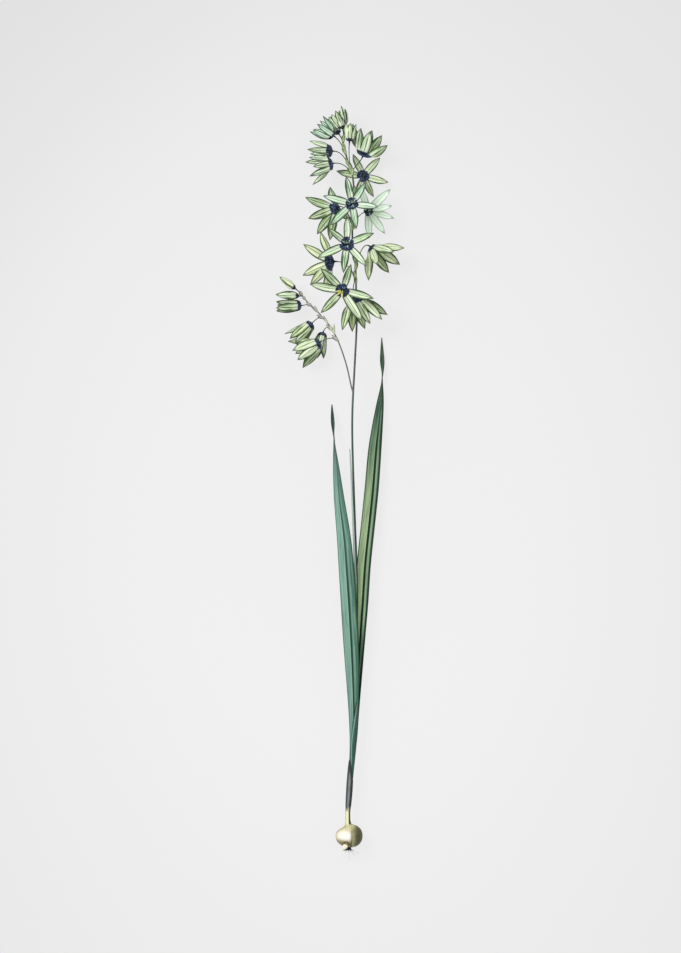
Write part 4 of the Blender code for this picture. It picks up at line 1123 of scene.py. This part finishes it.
# The side branch: a thinner, greyer shoot that leaves the main stem low on the left and arches over, with
# its own stalks. It is as wiry as the stem, with a purple tinge.
BRANCH_RADIUS = 0.5
BRANCH_FOOT = (2.5, 296.8, 17.9)
BRANCH_FOOT_ROWS = 6
BRANCH_ROWS = 120
BRANCH_ROUTE = (
    (1.05, 301.8, 17.8), (-2.4, 317.0, 17.0), (-7.4, 331.5, 15.6), (-12.2, 340.5, 14.6),
    (-17.6, 347.6, 13.8), (-22.6, 353.2, 13.2), (-28.2, 358.5, 12.8), (-32.2, 363.6, 12.6),
)  # fmt: skip
branch_line = [Vector(row) for row in smooth_route(BRANCH_ROUTE, BRANCH_ROWS)]


def branch_joint(share):
    index = min(BRANCH_ROWS - 2, max(1, round(share * (BRANCH_ROWS - 1))))
    return branch_line[index], (branch_line[index + 1] - branch_line[index - 1]).normalized()


branch = bmesh.new()
part = branch.verts.layers.float_vector.new("part")
foot_line = [Vector(BRANCH_FOOT).lerp(branch_line[0], i / BRANCH_FOOT_ROWS) for i in range(BRANCH_FOOT_ROWS)]
whole_line = foot_line + branch_line
rod_radii = [BRANCH_RADIUS * (1.0 - 0.25 * i / (len(whole_line) - 1)) for i in range(len(whole_line))]
add_rod(branch, whole_line, rod_radii, 14, (part, 0.0))
add_stalks(branch, part, SIDE_BLOOMS + SIDE_BUDS, branch_joint)
branch_tones = (seen(140, 136, 130), seen(106, 104, 100), seen(66, 64, 64))
branch_skin = stem_finish("branch_skin", branch_tones, branch_tones, branch_tones, seen(74, 78, 84))
grow("branch", branch, branch_skin, "branch", "side_branch")

# The bracts: two thin papery scales that hug the foot of each stalk, an outer and a smaller inner one. They
# are dry and ribbed, greyish on the branch and pale green along the spike, with darker margins.
BRACT_LENGTH = 6.5
BRACT_RADIUS = 1.15
SCALE_ROWS = 14
SCALE_STEPS_ACROSS = 8
SCALE_THICKNESS = 0.2
LONE_SCALE_RADIUS = 0.85
CURLY_SCALE_HEIGHT = 406.0
CURLY_SCALE_WAY = Vector((0.62, 0.78, 0.1)).normalized()
# Scales of the branch without a stalk: share along it, how far each stands aside, its length and its green.
LONE_SCALES = (
    (0.38, 0.5, 7.0, 1.0), (0.4, 0.05, 6.2, 0.9), (0.5, 0.2, 6.0, 0.6), (0.69, -0.12, 6.0, 0.0),
    (0.7, 0.3, 4.6, 0.0),
)  # fmt: skip


def add_scale(bm, paper, start, way, out, length, radius, wrap, flare, green=0.0):
    """One scale: a curved sheet round the stalk, widest below its middle and drawn out to a point."""
    side = way.cross(out).normalized()
    rows = []
    for j in range(SCALE_ROWS + 1):
        share = j / SCALE_ROWS
        belly = math.sin(math.pi * min(1.0, (share * 0.94 + 0.06)) ** 0.62) ** 0.8
        reach = wrap * max(0.06, belly)
        around = radius * (0.35 + 0.65 * math.sin(math.pi * min(0.92, 0.15 + share * 0.8)))
        row = []
        for k in range(SCALE_STEPS_ACROSS + 1):
            u = 2 * k / SCALE_STEPS_ACROSS - 1
            along = way * (share - 0.12) * length
            spread = out * (around * math.cos(u * reach) + flare * share**2.5 * length)
            vert = bm.verts.new((start + along + spread + side * around * math.sin(u * reach)) * MM)
            vert[paper] = (u, share, green)
            row.append(vert)
        rows.append(row)
    skin_over(bm, rows)


def add_bracts(bm, paper, flowers, joint, size):
    """The outer scale of each pair stands off the stem's side that its stalk leaves on."""
    for flower in flowers:
        start, up = joint(flower.joins)
        way = stalk_way(start, up, flower)
        length = min(BRACT_LENGTH * size, 0.62 * (Vector(flower.place) - start).length)
        leaning = (Vector(flower.place) - start).cross(up)
        out = TO_VIEWER + up.cross(leaning).normalized() * -0.6
        out = (out - way * out.dot(way)).normalized()
        add_scale(bm, paper, start, way, out, length, BRACT_RADIUS * size, 1.5, 0.16)
        add_scale(bm, paper, start, way, -out, 0.82 * length, 0.9 * BRACT_RADIUS * size, 1.4, 0.12)


def bract_finish(name, light, middle, vein):
    finish, start = start_finish(name)
    across, share, green = start.attribute("paper").parts()
    grain = start.place().speckle(420.0, 3.0)
    ribs = (across * 15).sine()
    colour = (grain + share * 0.2).rise(0.35, 0.75).blend(light, middle)
    colour = (green * 0.8).blend(colour, seen(206, 220, 180))
    colour = (ribs.rise(0.5, 1.0) * 0.4).blend(colour, vein)
    colour = (abs(across).rise(0.62, 0.9) * 0.75).blend(colour, vein)
    colour = (share.rise(0.72, 0.95) * 0.75).blend(colour, vein)
    return close_finish(finish, colour, 0.6 + grain * 0.25, ribs * 0.5 + grain, 0.1)


spike_bracts = bmesh.new()
paper = spike_bracts.verts.layers.float_vector.new("paper")
add_bracts(spike_bracts, paper, SPIKE_BLOOMS + SPIKE_BUDS, lambda along: joint_on(stem_line, along), 1.0)
curly_foot, _ = joint_on(stem_line, CURLY_SCALE_HEIGHT)
add_scale(spike_bracts, paper, curly_foot, CURLY_SCALE_WAY, TO_VIEWER, 7.0, 1.0, 1.3, 0.1)
spike_paper = bract_finish("spike_bract_paper", seen(190, 206, 158), seen(142, 166, 118), seen(74, 92, 60))
grow("spike_bracts", spike_bracts, spike_paper, "stem", thickness=SCALE_THICKNESS)
side_bracts = bmesh.new()
paper = side_bracts.verts.layers.float_vector.new("paper")
add_bracts(side_bracts, paper, SIDE_BLOOMS + SIDE_BUDS, branch_joint, 0.95)
for share, aside, length, green in LONE_SCALES:
    foot, up = branch_joint(share)
    way = (up + up.cross(TO_VIEWER) * aside).normalized()
    out = (TO_VIEWER + up.cross(TO_VIEWER) * aside).normalized()
    out = (out - way * out.dot(way)).normalized()
    add_scale(side_bracts, paper, foot, way, out, length, LONE_SCALE_RADIUS, 1.3, 0.1, green)
side_paper = bract_finish("side_bract_paper", seen(206, 204, 194), seen(158, 156, 148), seen(84, 82, 80))
grow("side_bracts", side_bracts, side_paper, "branch", thickness=SCALE_THICKNESS)

# The table, the light and the camera: the plant lies on a plain pale table top, lit a little from inside so
# that the shadows stay faint. A soft lamp stands at the upper left, and the camera looks straight down.
PIXEL = 0.67
VIEW_WIDTH = 681
VIEW_HEIGHT = 953
PHOTO_HEIGHT = VIEW_HEIGHT * PIXEL
CAMERA_X = (VIEW_WIDTH / 2 - 349.6) * PIXEL
CAMERA_Y = (837 - VIEW_HEIGHT / 2) * PIXEL
CAMERA_ABOVE = 0.015
LENS = 100
SENSOR = 36
TABLE_SIZE = 8.0
TABLE_DROP = 0.0002
SKY_STRENGTH = 0.7
LAMP_PLACE = Vector((-0.62, 0.72, 1.05))
LAMP_SIZE = 0.6
LAMP_POWER = 9.8


def table_finish():
    finish, start = start_finish("table_top_glow")
    x, y, _ = start.place().parts()
    grain = start.place().speckle(700.0, 2.0)
    far = ((x + 0.006) ** 2.0 + (y * 0.72) ** 2.0) ** 0.5
    corner = (y - x - 0.3).rise(0.0, 0.25)
    dimmer = far.rise(0.1, 0.36) * 0.07 + y * 0.09 - x * 0.025 + corner * 0.028 + 0.022
    glow = (dimmer / 0.2).blend((0.79, 0.79, 0.79, 1), (0.59, 0.59, 0.59, 1))
    colour = grain.rise(0.4, 0.7).blend((0.085, 0.085, 0.085, 1), (0.08, 0.08, 0.08, 1))
    shader = finish.node_tree.nodes["Principled BSDF"]
    finish.node_tree.links.new(glow.socket, shader.inputs["Emission Color"])
    shader.inputs["Emission Strength"].default_value = 1.0
    return close_finish(finish, colour, 0.85 + grain * 0.1, grain, 0.02)


table_mesh = bmesh.new()
bmesh.ops.create_grid(table_mesh, x_segments=1, y_segments=1, size=TABLE_SIZE)
table_data = bpy.data.meshes.new("table_top")
table_mesh.to_mesh(table_data)
table_mesh.free()
table_data.materials.append(table_finish())
table_top = bpy.data.objects.new("table_top", table_data)
bpy.context.scene.collection.objects.link(table_top)
table_top.location = (0, CAMERA_Y * MM, -TABLE_DROP)

scene = bpy.context.scene
sky = bpy.data.worlds.new("studio")
sky.use_nodes = True
sky.node_tree.nodes["Background"].inputs["Color"].default_value = (1, 1, 1, 1)
sky.node_tree.nodes["Background"].inputs["Strength"].default_value = SKY_STRENGTH
scene.world = sky
lamp_data = bpy.data.lights.new("soft_lamp", "AREA")
lamp_data.shape = "DISK"
lamp_data.size = LAMP_SIZE
lamp_data.energy = LAMP_POWER
lamp = bpy.data.objects.new("soft_lamp", lamp_data)
lamp.location = LAMP_PLACE
lamp.rotation_euler = (Vector((0, CAMERA_Y * MM, 0)) - LAMP_PLACE).to_track_quat("-Z", "Y").to_euler()
lamp.visible_camera = False
scene.collection.objects.link(lamp)

lens = bpy.data.cameras.new("view")
lens.type = "PERSP"
lens.lens = LENS
lens.sensor_width = SENSOR
camera = bpy.data.objects.new("view", lens)
camera.location = (CAMERA_X * MM, CAMERA_Y * MM, CAMERA_ABOVE + PHOTO_HEIGHT * MM * LENS / SENSOR)
scene.collection.objects.link(camera)
scene.camera = camera
scene.view_settings.view_transform = "Standard"
